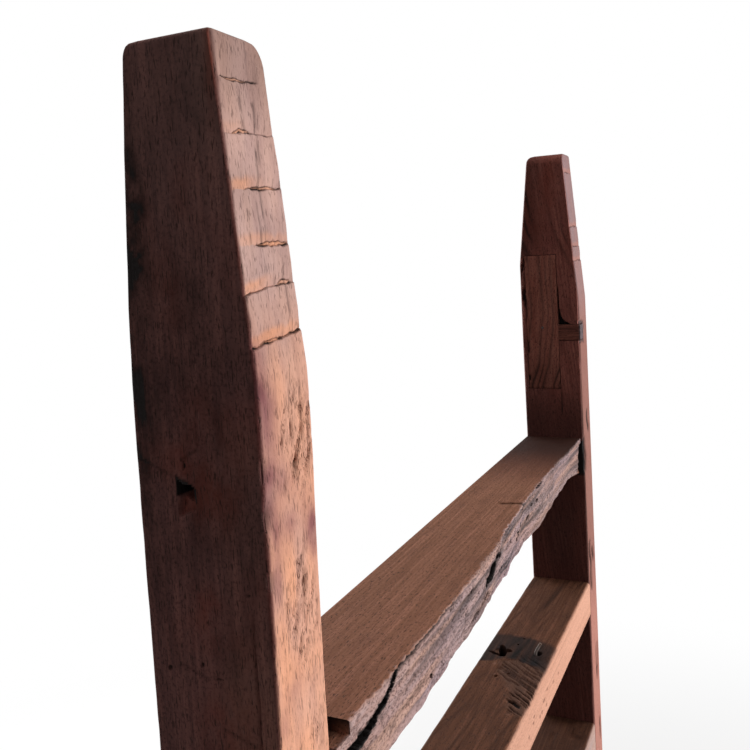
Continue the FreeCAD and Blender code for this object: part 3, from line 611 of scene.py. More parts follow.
# Rot beside the patch: a curved gap over the block, and worm-eaten hollows down the patch's back edge. Below
# the patch an old joint line goes on a little way, and the front is chewed round the block's end.
gap_y, gap_z = y - patch_low[1], z - block_high[2]
gap_wide = 12.5 * np.exp(-np.clip(gap_z, 0, None) / 4) + 2.4 * np.clip(1 - gap_z / 52, 0, 1)
crescent = (gap_y < 0.5) * (gap_z > -0.5) * (gap_z < 50) * ease(0.5, -0.7, -gap_y - gap_wide) * inside
eaten = hump(patch_high[1] + 1.4, 2.8, y) * ease(0.0, 0.25, wobble(rings, (3, 3, 7), 142))
eaten = eaten * ease(1500, 1525, z) * ease(1592, 1584, z) * inside
joint_loss, joint_dark = checks(rings, y, inside, [(patch_low[1], 1404, 1438, 0.8, 0.6)], 143)
chewed = np.maximum(np.abs(z - block_low[2] - 9) / 12.0, (x - right_low[0]) / 20.0)
chewed = ease(1.1, 0.95, chewed + 0.22 * wobble(rings, 4, 171)) * front
lost = worn_faces(rings, out, 111) + kerf_loss + check_loss + 7 * crescent + 4 * eaten + joint_loss + chewed
rings = mortises(rings - lost[..., None] * out, -1, right_low[0])
x, y, z = np.moveaxis(rings, -1, 0)
recess = (x < right_low[0] + ROT_REACH) & (y > recess_low[1]) & (y < recess_high[1])
recess = recess & (z > recess_low[2]) & (z < recess_high[2])
rings[..., 0] = np.where(recess, recess_high[0], x)
notch = (y < recess_low[1]) & (x < notch_high[0]) & (z > notch_low[2]) & (z < notch_high[2])
rings[..., 0] = np.where(notch, notch_high[0], x)


def growth_bands(distance, gap):
    """Dark late wood: narrow crests of a cosine, on average one at every gap across the bands, but unevenly
    spaced."""
    uneven = distance + 0.3 * gap * np.sin(2.3 * distance / gap)
    return (0.5 + 0.5 * np.cos(2 * math.pi * uneven / gap)) ** 3


# Growth bands on the inner face sweep down from the back of the head to its front.
SWEEP_HEIGHTS = [1400, 1512, 1570, 1592, 1613, 1659, 1693]
SWEEP_PLACES = [-92, -52, -34, -23, -13.6, -4, 2.5]
swept = y - np.interp(z, SWEEP_HEIGHTS, SWEEP_PLACES) + 1.6 * wobble(rings, (16, 16, 34), 144)
bands = growth_bands(swept, 13.0) * inside * ease(1430, 1500, z)
bands = bands * np.clip(0.5 + 0.9 * wobble(rings, (14, 14, 50), 145), 0, 1)
upper = ease(1480, 1560, z)
# Painted shadow on the inner face where it shows past the top rung's recessed end.
rung_end_shadow = ease(-17, -22, y) * ease(1336, 1341, z) * ease(1379, 1374, z) * inside
# Painted shade low on the inner face above the top rung; the face is also darker towards the back of its
# head.
dim = (0.6 * ease(1460, 1396, z) + 0.4 * ease(0, 22, y) * ease(1580, 1610, z)) * inside
uneven = 1 + 0.7 * wobble(rings, (14, 14, 30), 147) + 0.3 * wobble(rings, (4, 4, 9), 148)
right_paint = {
    "pale": ease(0.25, 0.9, front) * (0.93 + 0.07 * wobble(rings, (12, 12, 40), 146)),
    "fresh": 0.45 * kerf_scoop + 0.85 * front * (1 - upper),
    "flush": (0.16 + 0.2 * ease(1560, 1640, z)) * uneven * inside,
    "stain": 0.3 * inside * ease(0.1, 0.7, wobble(rings, (40, 40, 90), 149)) + 0.8 * chewed,
    "pitted": 0.15 * front,
    # Painted shade in the kerf slits, the rot gap, the eaten hollows and the gaps round the patch and block.
    "marks_and_painted_shade": 0.9 * kerf_dark + check_dark + 1.3 * crescent + 0.95 * eaten + 0.6 * (recess | notch)
              + 0.5 * joint_dark + 0.55 * bands + 0.9 * rung_end_shadow + dim
              + 0.36 * front * (1 - upper) * ease(1150, 1260, z),
}
right_stile = closed_board("right_stile_board", rings, right_paint, reclaimed_hardwood(
    "right_stile_reclaimed_hardwood", (5, 2, 0), (right_low[0] + 66, 0, 1630), heart="#c87f71",
    dark="#995b52", pale="#7f7073", pale_warm="#866e69", fresh="#ac7667", ring_gap=10.0, figure=6.0,
    late=0.3, pore=(0.6, 0.15), mottled=0.2))
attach(right_stile, "root")
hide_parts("right_stile")


# Mortise patch: a planed slip of similar hardwood, let in flush over an old mortise and held by one brad.
# Its grain runs up the stile in long curves, redder than the timber round it.

PATCH_ARRIS, PATCH_END = 0.7, 1.5
patch_heights = spread(patch_low[2], patch_high[2], 1.4)
patch_sides = [np.linspace(0.1, 0.9, 7), np.linspace(0.05, 0.95, 9), np.linspace(0.1, 0.9, 7),
               np.linspace(0.02, 0.98, 32)]
to_end = np.minimum(patch_heights - patch_low[2], patch_high[2] - patch_heights)
end = 0.5 * np.clip(1 - to_end / PATCH_END, 0, 1)
rings, out = around(2, patch_heights, patch_low[0] + end, patch_high[0], patch_low[1] + end,
                    patch_high[1] - end, PATCH_ARRIS, patch_sides, arc=4)
y, z = rings[..., 1], rings[..., 2]
shown = facing(out, 0, -1)
nibbled = hump(patch_high[1], 2.2, y) * ease(0.15, 0.4, wobble(rings, (3, 3, 8), 151)) * shown
band_y = np.interp(z, [1440, 1464, 1522, 1582], [20, 12, 5, 7]) + wobble(rings, (9, 9, 30), 153)
band = growth_bands(y - band_y, 8.5) * shown * np.clip(0.8 + 0.4 * wobble(rings, (9, 9, 40), 155), 0, 1)
lost = np.clip(0.2 + 0.2 * wobble(rings, (14, 14, 60), 152), 0, None) + 1.6 * nibbled
rings = rings - lost[..., None] * out
# Painted shade on the sides that sit in the recess and in the nibbled hollows; the patch is also darker
# towards its foot.
patch_paint = {
    "flush": 0.3 * shown * (1 - band) * (1 + 0.5 * wobble(rings, (8, 8, 26), 154)),
    "marks_and_painted_shade": 0.8 * nibbled + 0.6 * (1 - shown) + 0.6 * band + 0.32 * ease(1485, 1450, z),
}
mortise_patch = closed_board("mortise_patch_slip", rings, patch_paint, reclaimed_hardwood(
    "planed_patch_hardwood", (-5, 3, 0), (right_low[0] + 48, 2, 1510), heart="#dd9582", dark="#b77161",
    pale="#b08070", pale_warm="#b08070", fresh="#b08070", ring_gap=9.0, figure=6.0, late=0.3,
    pore=(0.6, 0.15), mottled=0.3))
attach(mortise_patch, "root")
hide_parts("mortise_patch")


# Filler block: a small block set into the notch from the front, its grey end grain showing there.

BLOCK_ARRIS, BLOCK_END = 0.8, 2.0
block_places = spread(block_low[1], block_high[1], 0.9)
end = 0.8 * np.clip(1 - (block_places - block_low[1]) / BLOCK_END, 0, 1)
rings, out = around(1, block_places, block_low[2] + end, block_high[2] - end, block_low[0] + end,
                    block_high[0], BLOCK_ARRIS, [np.linspace(0.04, 0.96, 18)] * 4, arc=4)
lost = np.clip(0.15 + 0.15 * wobble(rings, (5, 20, 5), 161), 0, None)
rings = rings - lost[..., None] * out
front_end = ease(block_low[1] + BLOCK_END, block_low[1] + 0.2, rings[..., 1])
# Painted shade on the faces that sit in the notch.
block_paint = {
    "pale": front_end,
    "stain": front_end * (0.75 + 0.4 * wobble(rings, 3, 162)),
    "marks_and_painted_shade": 0.6 * (1 - facing(out, 0, -1)) * (1 - front_end),
}
filler_block = closed_board("filler_block_plug", rings, block_paint, reclaimed_hardwood(
    "sawn_block_hardwood", (90, 0, 0), (290, 0, 1480), heart="#b5705e", dark="#6a3f36", pale="#7b6f76",
    pale_warm="#73666a", fresh="#b08070", ring_gap=4.0))
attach(filler_block, "root")
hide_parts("filler_block")


# Top rung: a sawn board whose front keeps the tree's waney edge, pale and full of small worm holes. At its
# left end the edge has split and a corner is notched; at its right end the lower corner is broken away.

TOP_EDGE = [
    (-0.5, 0.45), (-0.46, 0.67), (-0.42, 0.9), (-0.33, 1.0), (-0.2, 1.0), (-0.11, 0.82), (-0.06, 0.6),
    (-0.03, 0.14), (0.04, -0.22), (0.09, -0.6), (0.2, -0.95), (0.34, -0.87), (0.43, -0.61), (0.5, -0.61),
]
UNDER_EDGE = [
    (-0.5, 0.95), (-0.39, 0.68), (-0.34, 0.69), (-0.26, 0.47), (-0.235, 0.2), (-0.17, 0.38), (-0.136, 0.15),
    (-0.11, -0.2), (0.0, -0.5), (0.04, -1.1), (0.07, -0.85), (0.1, -1.25), (0.15, -1.3), (0.165, -0.8),
    (0.2, -0.9), (0.28, -1.45), (0.4, -2.05), (0.46, -2.1), (0.48, -1.5), (0.5, -0.9),
]
EDGE_BULGE = 6.0
WANEY_ARRIS, RUNG_ARRIS = 1.5, 3.0
RUNG_THICK = 40.0
LYING = (0, -90, 0)
SHOULDER = left_high[0]
NOTCH_LENGTH, NOTCH_WIDTH, NOTCH_DEPTH = 13.0, 16.0, 7.0
SPLIT_LENGTH, SPLIT_DROP = 72.0, 16.0
TENON_PLAY = 0.2
front_face, back_face = left_low[1], left_high[1]


def rung_blank(top, stations, sides, radius):
    """Board on its flat between the stiles, with a tenon at each end: rings of the full section from shoulder
    to shoulder, and two smaller rings at each end for the tenon. Also gives the outward directions, which are
    nothing on the tenons, and says which rings are the board's."""
    reach = TENON_LENGTH - TENON_PLAY - SHOULDER
    board = np.pad(np.ones(len(stations)), 2)
    half_depth = np.where(board, (back_face - front_face) / 2, TENON_WIDTH / 2)
    half_thick = np.where(board, RUNG_THICK / 2, TENON_THICKNESS / 2)
    middle = top - RUNG_THICK / 2
    stations = np.concatenate([[-reach, SHOULDER], stations, [-SHOULDER, reach]])
    rings, out = around(0, stations, mid_depth - half_depth, mid_depth + half_depth, middle - half_thick,
                        middle + half_thick, radius, sides)
    return rings, out * board[:, None, None], np.broadcast_to(board[:, None], rings.shape[:2])


rung_1_top = rung_middles[0] + RUNG_THICK / 2
notch_x, notch_y = SHOULDER + NOTCH_LENGTH, front_face + NOTCH_WIDTH
stations = spread(SHOULDER, -SHOULDER, 1.15, lines=[notch_x])
sides = [np.linspace(0, 1, 18)[1:-1], np.linspace(0, 1, 12)[1:-1],
         1 - side(front_face, back_face, WANEY_ARRIS, 1.7, closer=[(front_face, front_face + 18, 0.9)],
                  lines=[notch_y])[::-1],
         1 - side(rung_1_top - RUNG_THICK, rung_1_top, WANEY_ARRIS, 0.8)[::-1]]
rings, out, board = rung_blank(rung_1_top, stations, sides, WANEY_ARRIS)
x, y, z = np.moveaxis(rings, -1, 0)
front, top_side = facing(out, 1, -1), facing(out, 2, 1)
in_notch = (x < notch_x - 0.03) & (y < notch_y - 0.03) & (board > 0)
notch_rim = (x < notch_x - 0.01) & (y < notch_y - 0.01) & (board > 0) & ~in_notch

# The waney front: two wandering edges, one at the top and one at the underside, with the face between them
# ridged along the grain and pitted, and the fibres of the top arris torn into small teeth.
line = rings * (1, 0, 0)
level = (z - rung_1_top + RUNG_THICK) / RUNG_THICK


def faired(edge):
    """Bulge of an edge through the given places, smoothed by averaging over a fortieth of the length."""
    places, values = zip(*edge)
    raw = np.interp(np.linspace(-0.6, 0.6, 481), places, values)
    smooth = np.convolve(raw, np.ones(11) / 11, mode="same")[40:-40]
    return np.interp(x / (-2 * SHOULDER), np.linspace(-0.5, 0.5, 401), smooth) * EDGE_BULGE


edge_top = faired(TOP_EDGE) + 0.4 * wobble(line, 14, 201) + 0.35 * wobble(line, 6, 202)
edge_under = faired(UNDER_EDGE) + 0.6 * wobble(line, 17, 203) + 0.5 * wobble(line, 7, 204)
teeth = (0.7 * wobble(line, 2.4, 205) + 0.4 * wobble(line, 1.3, 211)) * ease(0.9, 1.0, level)
swell = edge_under + (edge_top - edge_under) * level + teeth
swell = swell + 0.8 * np.sin(np.pi * np.clip(level, 0, 1)) * wobble(rings, (60, 30, 16), 206)
core = front_face + 30
pull = np.clip((core - y) / (core - front_face), 0, 1) * board
rings[..., 1] = np.maximum(y - pull * swell, cad_low[1] * 1000)

fibres = 1 - np.abs(wobble(rings, (60, 6, 3.4), 208)) - 0.5 * np.abs(wobble(rings, (24, 4, 1.9), 209))
pits = ease(0.4, 0.7, wobble(rings, (3.2, 2, 1.8), 210))
ridged = 1 - 0.5 * ease(30, 170, x)
lost = 0.15 + 0.15 * wobble(rings, (120, 60, 60), 207)
lost = lost + front * ridged * np.clip(1.1 - 1.1 * fibres + 0.7 * pits, 0, None)

# Worm holes in the front: place along the rung, drop below its top, half length, half height and slant.
WORM_HOLES = [
    (-36, 10.5, 3.6, 2.8, 0.0), (-45, 9.5, 3.4, 2.2, 0.0), (-57, 17.0, 10.0, 5.8, 0.12),
    (-69, 19.5, 7.0, 3.2, 0.1), (47, 17, 2.2, 4.6, 0.0), (40, 22, 2.6, 2.4, 0.0), (34, 25, 1.4, 1.8, 0.0),
    (120, 1.5, 11.0, 1.3, 0.0), (88, 11, 4.0, 1.3, -0.3), (112, 14, 2.4, 1.5, 0.0), (-150, 12, 1.4, 1.2, 0.0),
    (-20, 27, 1.6, 1.3, 0.0), (80, 20, 4.5, 1.1, 0.2), (-190, 30, 1.3, 1.1, 0.0), (-112, 9, 1.8, 1.2, 0.3),
    (5, 15, 1.5, 1.1, 0.0), (158, 24, 2.0, 1.3, 0.2),
]
worm = np.zeros(x.shape)
for number, (place, drop, half_long, half_high, slant) in enumerate(WORM_HOLES):
    off_x = x - place + 0.8 * wobble(rings, 4, 220 + number)
    off_z = z - rung_1_top + drop - slant * (x - place) + 0.6 * wobble(rings, 3, 240 + number)
    worm = np.maximum(worm, 1.45 - np.hypot(off_x / half_long, off_z / half_high))
worm, worm_dark = ease(0.4, 0.65, worm) * front, ease(0.15, 0.4, worm) * front

# The split runs from the top arris down to the left end, wider and blacker towards it, with a finer crack
# below. From there a hairline goes on under the torn arris. Two more cracks cross the rung further right.
from_end = x - SHOULDER
opened = np.clip(1 - from_end / SPLIT_LENGTH, 0, 1)
split_line = rung_1_top + 1.0 - SPLIT_DROP * (1 - (1 - opened) ** 3) + 0.7 * wobble(line, 8, 231)
split_half = 2.1 + 1.0 * opened ** 0.7 + 0.4 * wobble(line, 2.2, 232)
lip = 0.8 * ease(0.0, 0.6, wobble(line, 2.4, 241)) * (z < split_line)
split_front = (from_end < SPLIT_LENGTH + 4) * front
gape = np.abs(z - split_line)
split = ease(0.85, 0.6, (gape + lip) / split_half) * split_front
split_dark = ease(1.5, 0.9, gape + 0.4 * lip - 0.85 * split_half) * split_front
hairline = hump(rung_1_top - 1.6, 1.2, z) * ease(190, 120, from_end)
hairline = hairline * ease(SPLIT_LENGTH - 8, SPLIT_LENGTH, from_end) * front
crack = hump(split_line - 8.6, 0.9, z) * ease(40, 22, from_end) * front
lower_line = rung_1_top - 33.0 + 0.05 * (x + 85) + 0.6 * wobble(line, 5, 233)
lower_crack = hump(lower_line, 1.2 + 0.9 * ease(-90, -70, x), z)
lower_crack = lower_crack * ease(-112, -100, x) * ease(-60, -64, x) * front
top_line = 54.5 - 0.25 * (y + 17) - 0.6 * wobble(rings, (9, 3, 9), 234)
top_crack = hump(top_line, 1.7, x) * ease(-5, -8, y) * np.clip(top_side + front * (level > 0.85), 0, 1)
broken = ease(-SHOULDER - 6.5, -SHOULDER - 4.5, x + 1.5 * wobble(rings, (4, 4, 5), 235))
broken = broken * ease(0.85, 0.75, level) * front
lost = lost + 7 * worm + 13 * split + 2 * hairline + 3 * crack + 4 * lower_crack + 2 * top_crack
lost = lost + 11 * broken
rings = rings - lost[..., None] * out
x, y, z = np.moveaxis(rings, -1, 0)
notch_floor = rung_1_top - NOTCH_DEPTH + 0.8 * wobble(rings, 3, 236) + 0.5 * wobble(rings, (9, 1.6, 3), 242)
in_notch, notch_rim = in_notch & (z > notch_floor), notch_rim & (z > notch_floor)
rings[..., 2] = np.where(in_notch, notch_floor, z)

# Its colours: grey and purple patches with tan ones along the grain, paler towards the left end, a torn pale
# fringe on the top arris, and the front a little darker towards the far end. Painted shade, darker and
# redder, lies on the top towards the far stile, and in the worm holes, the split, the cracks, the notch and
# the broken corner.
grey = ease(0.0, 0.55, wobble(rings, (90, 20, 6), 237)) * (0.3 + 0.3 * hump(-20, 150, x))
grey = grey + 0.35 * ease(0.05, 0.5, wobble(rings, (45, 8, 2.0), 245)) * ease(-260, -160, x)
tan = ease(0.05, 0.55, wobble(rings, (70, 20, 5), 239))
fringe = ease(3.2 + 1.6 * wobble(rings, 5, 243), 0.4, y - front_face + edge_top) * top_side
fringe = fringe * ease(-0.2, 0.4, wobble(rings, 2.2, 244))
near_end = ease(-120, -280, x)
corner_dark = ease(0.5, 1.0, np.hypot(x - notch_x, y - notch_y) / 16)
rung_1_paint = {
    "pale": ease(0.25, 0.85, front) * (0.92 + 0.08 * wobble(rings, 6, 238)) + 0.8 * fringe,
    "fresh": front * (0.55 * tan + 0.3 * near_end) + 0.6 * fringe,
    "stain": front * grey * (1 - 0.6 * near_end),
    "flush": 0.6 * top_side * ease(90, 270, x),
    "pitted": front * np.clip(0.85 + 0.3 * wobble(rings, (20, 20, 12), 240), 0, 1) * (1 - 0.4 * near_end),
    "marks_and_painted_shade": worm_dark + split_dark + 1.2 * hairline + 1.1 * crack + 1.3 * lower_crack + 1.2 * top_crack
              + broken + notch_rim
              + front * (0.3 * pits + 0.4 * ridged * ease(0.55, 0.15, fibres) + 0.14 * ease(60, 220, x))
              + (0.85 - 0.5 * corner_dark) * in_notch + 0.9 * top_side * ease(80, 260, x)
              + (1 - board),
}
rung_1 = closed_board("rung_1_waney_board", rings, rung_1_paint, reclaimed_hardwood(
    "top_rung_reclaimed_hardwood", LYING, (0, 190, 1362), heart="#c4886e", dark="#9b6950",
    pale="#a29099", pale_warm="#b39b98", fresh="#cfa593", ring_gap=3.4, figure=2.5, pore=(0.85, 0.22),
    pit=(1.15, 0.5, 0.53), mottled=0.25))
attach(rung_1, "root")
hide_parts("rung_1")


# Second rung: a squared board from an older frame, with an old bolt's ragged socket, a black iron stain
# across it, grain torn up by a knot beside that, and a bent nail still standing in a worn pit.

rung_2_top = rung_middles[1] + RUNG_THICK / 2
SOCKET_X, SOCKET_Y, SOCKET_LENGTH = 120.0, back_face - 17.5, 21.0
stations = spread(SHOULDER, -SHOULDER, 4.0, closer=[(5, 185, 0.8)])
sides = [np.linspace(0, 1, 18)[1:-1], np.linspace(0, 1, 12)[1:-1],
         1 - side(front_face, back_face, RUNG_ARRIS, 0.85)[::-1], np.linspace(0, 1, 36)[1:-1]]
rings, out, board = rung_blank(rung_2_top, stations, sides, RUNG_ARRIS)
x, y, z = np.moveaxis(rings, -1, 0)
front, top_side = facing(out, 1, -1), facing(out, 2, 1)

# The socket: a long ragged hole, a short arm to the front, a thin crack to the back and a pale chip beside
# it. Further holes, specks and dots each have a place and half sizes.
ragged_x = x - SOCKET_X + 1.0 * wobble(rings, 3, 252)
ragged_y = y - SOCKET_Y - 0.28 * ragged_x + 0.8 * wobble(rings, 3, 253)
long_hole = np.hypot(ragged_x / (0.5 * SOCKET_LENGTH), ragged_y / 3.4)
front_arm = np.hypot((ragged_x - 1.6) / 2.9, (ragged_y + 4.4) / 5.4)
lean_x, lean_y = ragged_x + 7.2, y - 23
back_crack = np.hypot((0.92 * lean_x - 0.39 * lean_y) / 1.5, (0.39 * lean_x + 0.92 * lean_y) / 8.0)
socket = ease(1.1, 0.85, np.minimum(np.minimum(long_hole, front_arm), back_crack)) * top_side
chip = pocks(x, y, [(118.8, 23.2, 4.2, 2.4)], 0.7, 1.1) * top_side * (1 - socket)
nail_pit = pocks(x, y, [(124.6, -15.0, 3.8, 3.2)], 0.75, 1.15) * top_side
TOP_HOLES = [(34.4, -12.4, 2.0, 2.0), (72.1, 11.4, 1.7, 1.7), (80.7, 2.2, 1.2, 1.2), (136.5, 7.6, 1.1, 1.1),
             (150, 5, 1.0, 1.0)]
small_holes = pocks(x, y, TOP_HOLES, 0.6, 1.1) * top_side
PALE_SPECKS = [(93.9, 18.5, 2.0, 1.2, 0.7), (86, 8.4, 2.2, 1.2, 0.8), (75, 13.2, 2.0, 1.0, 0.6)]
specks = blots(x, y, PALE_SPECKS) * top_side
WORM_DOTS = [(119, 1190, 2.4), (95, 1195, 1.8), (82, 1191, 3.0), (90, 1183, 1.6), (73.5, 1185, 2.0),
             (66, 1185, 1.8), (47, 1195, 2.2), (44, 1191, 1.6), (140, 1188, 2.0), (28, 1187, 1.8)]
dots = pocks(x, z, [(*dot, 1.25) for dot in WORM_DOTS], 0.6, 1.3) * front

# Torn grain: furrows that slant across the board, broken and uneven, deepest by the front edge, with the
# fibres between them raised and grey, and given a painted highlight.
slanted = np.stack([x - 0.8 * (y + 30), y, np.zeros(x.shape)], axis=-1)
furrow = ease(0.05, 0.6, wobble(slanted, (2.2, 20, 1), 254) + 0.8 * wobble(slanted, (1.5, 9, 1), 255))
torn_back = np.interp(x, [16, 25, 50, 70, 85, 100, 108], [-18, -12, -8, 4, 14, 14, 0])
torn_back = torn_back + 3 * wobble(slanted, 4, 258)
torn_area = ease(5, -4, y - torn_back) * ease(12, 20, x) * ease(120, 106, x) * top_side
deep_area = hump(38, 17, x) * ease(-4, -14, y)
furrows = furrow * torn_area * np.clip(0.32 + 1.0 * deep_area, 0, 1.2)
lost = worn_faces(rings[..., [1, 2, 0]], out, 251) * 0.7 + 20 * socket + 1.2 * chip + 7 * nail_pit
lost = lost + 5 * small_holes + 1.8 * furrows + 0.4 * torn_area + 1.5 * dots
rings = rings - lost[..., None] * out

# The iron stain: a ragged band across the top, between a near and a far edge that bend along its depth.
ragged = x + 1.6 * wobble(rings, 7, 256)
far_edge = np.interp(y, [-31, -13, 2, 20, 33], [138, 150, 152.5, 154.5, 152])
near_edge = np.interp(y, [-31, -21, -10.6, 1.2, 13.2, 21.7, 33], [88, 98, 103, 106, 108.5, 100, 96])
iron_stain = ease(near_edge - 3, near_edge + 3, ragged) * ease(far_edge + 4, far_edge - 4, ragged)
iron_stain = iron_stain * top_side * np.clip(0.8 + 0.4 * wobble(rings, (30, 3, 3), 257), 0, 1)
figure = growth_bands(y + 0.16 * x + 5 * wobble(rings, (60, 18, 18), 259), 11.0) * top_side
figure = figure * np.clip(0.4 + 0.9 * wobble(rings, (60, 12, 12), 260), 0, 1) * (1 - torn_area)
# Painted shade: the top darkened all along under the rung above, more towards the far stile, and dark in the
# socket, the nail pit, the holes, the dots and the furrows.
rung_2_paint = {
    "pale": ease(0.25, 0.85, front) + 0.75 * chip + (0.06 + 0.2 * (1 - furrow)) * torn_area + specks,
    "fresh": 0.85 * ease(0.25, 0.85, front) + 0.3 * chip,
    "stain": 0.72 * iron_stain * (1 - chip) + 0.32 * torn_area,
    "pitted": 0.2 * front,
    "marks_and_painted_shade": socket + nail_pit + small_holes + 0.85 * furrows + 0.95 * dots + 0.6 * iron_stain
              + 0.05 * torn_area + 0.45 * figure + top_side * (0.08 + 0.2 * ease(150, 280, x)) + (1 - board),
}
rung_2 = closed_board("rung_2_squared_board", rings, rung_2_paint, reclaimed_hardwood(
    "second_rung_reclaimed_hardwood", LYING, (0, 30, 1150), heart="#a56f56", dark="#784d38",
    pale="#c99a83", pale_warm="#cc977b", fresh="#d6a088", ring_gap=7.0, pore=(0.7, 0.2), mottled=0.35))
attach(rung_2, "root")
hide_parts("rung_2")


# Lower rungs: six more squared boards of the same timber, each with its own wear, stains and a seasoning
# check. The check starts at one end, now left and now right, nearer the front or the back from rung to rung.

for number in range(3, RUNG_COUNT + 1):
    top = rung_middles[number - 1] + RUNG_THICK / 2
    hand = (-1) ** number
    seed = 300 + 20 * number
    stations = spread(SHOULDER, -SHOULDER, 2.6)
    sides = [np.linspace(0.04, 0.96, 16), np.linspace(0.06, 0.94, 12), np.linspace(0.02, 0.98, 40),
             np.linspace(0.03, 0.97, 22)]
    rings, out, board = rung_blank(top, stations, sides, RUNG_ARRIS)
    x, y, z = np.moveaxis(rings, -1, 0)
    front, top_side = facing(out, 1, -1), facing(out, 2, 1)
    check_y = mid_depth + 14 * math.sin(2.1 * number) + 1.2 * wobble(rings * (1, 0, 0), 25, seed + 5)
    end_check = hump(check_y, 1.0, y) * ease(120, 250, x * hand) * top_side
    dent = ease(0.55, 0.8, wobble(rings, (16, 9, 9), seed + 6))
    lost = worn_faces(rings[..., [1, 2, 0]], out, seed) + 2.5 * end_check + 0.9 * dent
    rings = rings - lost[..., None] * out
    # Painted shade: the tops darkened under the rung above, and the checks dark inside.
    rung_paint = {
        "pale": 0.95 * ease(0.45, 0.9, front),
        "fresh": 0.7 * front * ease(-0.3, 0.5, wobble(rings, (90, 40, 40), seed + 7)),
        "stain": 0.6 * top_side * ease(0.1, 0.6, wobble(rings, (110, 60, 60), seed + 8)),
        "pitted": 0.2 * front,
        "marks_and_painted_shade": 0.9 * end_check + 0.4 * top_side + (1 - board),
    }
    rung = closed_board(f"rung_{number}_squared_board", rings, rung_paint, reclaimed_hardwood(
        f"rung_{number}_reclaimed_hardwood", LYING, (150 * number, 20 * hand, top - 45 + 9 * number),
        heart="#93624b", dark="#66402f", pale="#ae9893", pale_warm="#b8978a", fresh="#c9a494",
        ring_gap=5.0 + 0.4 * number, pore=(0.7, 0.2), mottled=0.4))
    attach(rung, "root")
    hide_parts(f"rung_{number}")


# Bent nail and patch brad: an old wire nail left in the second rung, its head gone, leaning over where it was
# struck, and the brad that holds the patch. Both are iron, rusted where they stand.

def rusted_iron(name, scale_colour, bloom_colour):
    """Old iron wire and brads, brown with rust: a rough dull skin of scale with a rusty bloom over it."""
    material, tree = empty_material(name)
    place = node(tree, "TexCoord", {}, give="Object")
    scale = node(tree, "TexNoise", {
        "Vector": place, "Scale": 1 / 0.0012, "Detail": 4.0, "Roughness": 0.7}, give="Fac")
    bloom = node(tree, "TexNoise", {"Vector": place, "Scale": 1 / 0.004, "Detail": 2.0}, give="Fac")
    spread_bloom = node(tree, "MapRange", {"Value": bloom, "From Min": 0.4, "From Max": 0.65})
    skin = node(tree, "Mix", {0: spread_bloom, 6: linear(scale_colour), 7: linear(bloom_colour)},
                give=2, data_type="RGBA")
    relief = node(tree, "Bump", {"Height": scale, "Strength": 0.7, "Distance": 0.0005})
    rough = node(tree, "MapRange", {"Value": scale, "To Min": 0.45, "To Max": 0.8})
    shader = node(tree, "BsdfPrincipled", {
        "Base Color": skin, "Metallic": 0.35, "Roughness": rough, "Normal": relief})
    node(tree, "OutputMaterial", {"Surface": shader})
    return material


def refinish(node_name, material):
    """Gives a piece of the frame that stays as it is a new finish."""
    kept = bpy.data.objects[node_name]
    kept.data.materials.clear()
    kept.data.materials.append(material)


refinish("bent_nail", rusted_iron("bent_nail_rusted_iron", "#766b66", "#6d5548"))
refinish("patch_brad", rusted_iron("patch_brad_rusted_iron", "#2e2422", "#46302a"))


# Tenon pegs: riven eight-sided pins driven through the tenons from behind, their end grain flush with the
# back.

refinish("tenon_pegs", reclaimed_hardwood(
    "peg_end_grain_hardwood", (90, 0, 0), (0, 0, 0), heart="#a9795f", dark="#7a5644", pale="#b98d73",
    pale_warm="#b98d73", fresh="#b98d73", ring_gap=2.0))


# Studio: a pale floor that fades to white, a large soft light from the front and right, fainter ones above,
# behind and at the left, and the camera at the photograph's place, which looks past the left head along the
# rungs.

def plainly_seen(tree):
    """1 for what the camera and glossy reflections see, 0 for the light that falls on the object."""
    rays = [node(tree, "LightPath", {}, give=ray) for ray in ("Is Camera Ray", "Is Glossy Ray")]
    return node(tree, "Math", {0: rays[0], 1: rays[1]}, operation="MAXIMUM")


FLOOR_REACH = 40
floor_mesh = bpy.data.meshes.new("studio_floor")
floor_corners = [(-1, -1), (1, -1), (1, 1), (-1, 1)]
floor_mesh.from_pydata([(FLOOR_REACH * a, FLOOR_REACH * b, 0) for a, b in floor_corners], [], [(0, 1, 2, 3)])
floor = bpy.data.objects.new("studio_floor", floor_mesh)
bpy.context.scene.collection.objects.link(floor)
paper, tree = empty_material("studio_paper")
place = node(tree, "TexCoord", {}, give="Object")
away = node(tree, "VectorMath", {0: place}, give="Value", operation="LENGTH")
near = node(tree, "MapRange", {
    "Value": away, "From Min": 0.5, "From Max": 3.0, "To Min": 0.7, "To Max": 0.0,
}, interpolation_type="SMOOTHSTEP")
white = node(tree, "Emission", {"Strength": 1.0})
bright = node(tree, "BsdfDiffuse", {"Color": linear("#e6e4e3")})
dull = node(tree, "BsdfDiffuse", {"Color": linear("#5a5856")})
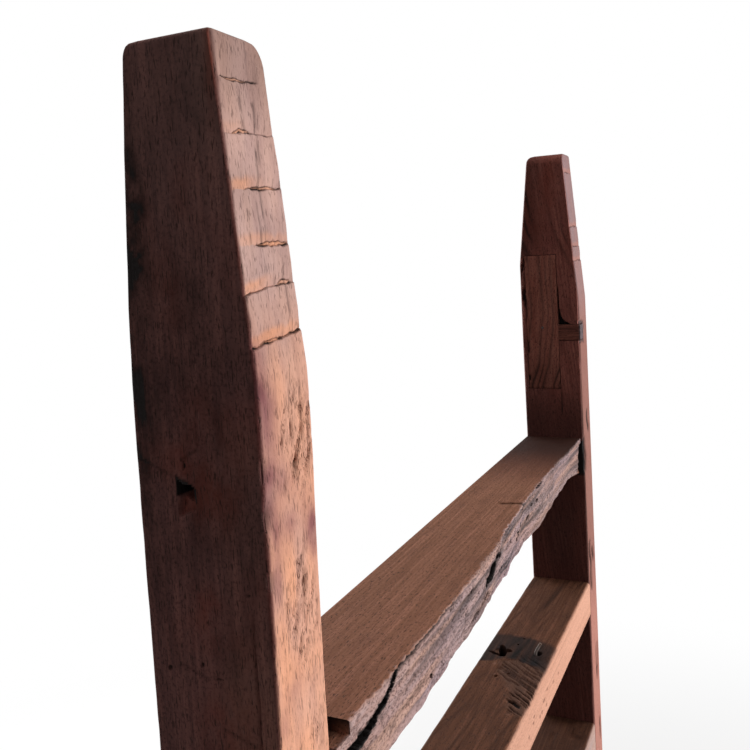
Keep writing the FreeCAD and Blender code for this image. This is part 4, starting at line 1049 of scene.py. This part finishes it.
lit = node(tree, "MixShader", {0: near, 1: white, 2: bright})
node(tree, "OutputMaterial", {"Surface": node(tree, "MixShader", {0: plainly_seen(tree), 1: dull, 2: lit})})
floor_mesh.materials.append(paper)

world = bpy.data.worlds.new("studio")
bpy.context.scene.world = world
world.use_nodes = True
tree = world.node_tree
tree.nodes.clear()
strength = node(tree, "MapRange", {"Value": plainly_seen(tree), "To Min": 0.08, "To Max": 1.0})
sky = node(tree, "Background", {"Color": (1, 1, 1, 1), "Strength": strength})
node(tree, "OutputWorld", {"Surface": sky})


def soft_light(name, place, aim, width, power):
    """Square soft light of a width in metres at a place, turned to its aim."""
    lamp = bpy.data.lights.new(name, "AREA")
    lamp.size = width
    lamp.energy = power
    light = bpy.data.objects.new(name, lamp)
    light.location = place
    light.rotation_euler = (Vector(aim) - Vector(place)).to_track_quat("-Z", "Y").to_euler()
    bpy.context.scene.collection.objects.link(light)


soft_light("front_light", (1.2, -2.3, 1.35), (0.0, 0.0, 1.3), 1.1, 88)
soft_light("top_light", (0.2, 0.1, 3.6), (0.0, 0.0, 1.2), 1.8, 15)
soft_light("back_light", (1.6, 2.4, 1.5), (0.0, 0.0, 0.9), 1.6, 60)
soft_light("left_light", (-2.6, -0.7, 1.9), (0.0, 0.0, 1.4), 1.2, 4)

YAW, PITCH, ROLL = math.radians(24.85), math.radians(-4.13), math.radians(-3.23)
forward = Vector((math.cos(YAW) * math.cos(PITCH), math.sin(YAW) * math.cos(PITCH), math.sin(PITCH)))
camera_data = bpy.data.cameras.new("camera")
camera_data.lens = 40.27
camera_data.sensor_width = 36.0
camera_data.shift_y = -0.08
camera_data.clip_start = 0.01
camera = bpy.data.objects.new("camera", camera_data)
camera.location = (-0.6335, -0.2153, 1.5997)
camera.rotation_euler = (forward.to_track_quat("-Z", "Y") @ Quaternion((0, 0, 1), ROLL)).to_euler()
bpy.context.scene.collection.objects.link(camera)
bpy.context.scene.camera = camera
bpy.context.scene.view_settings.view_transform = "Standard"
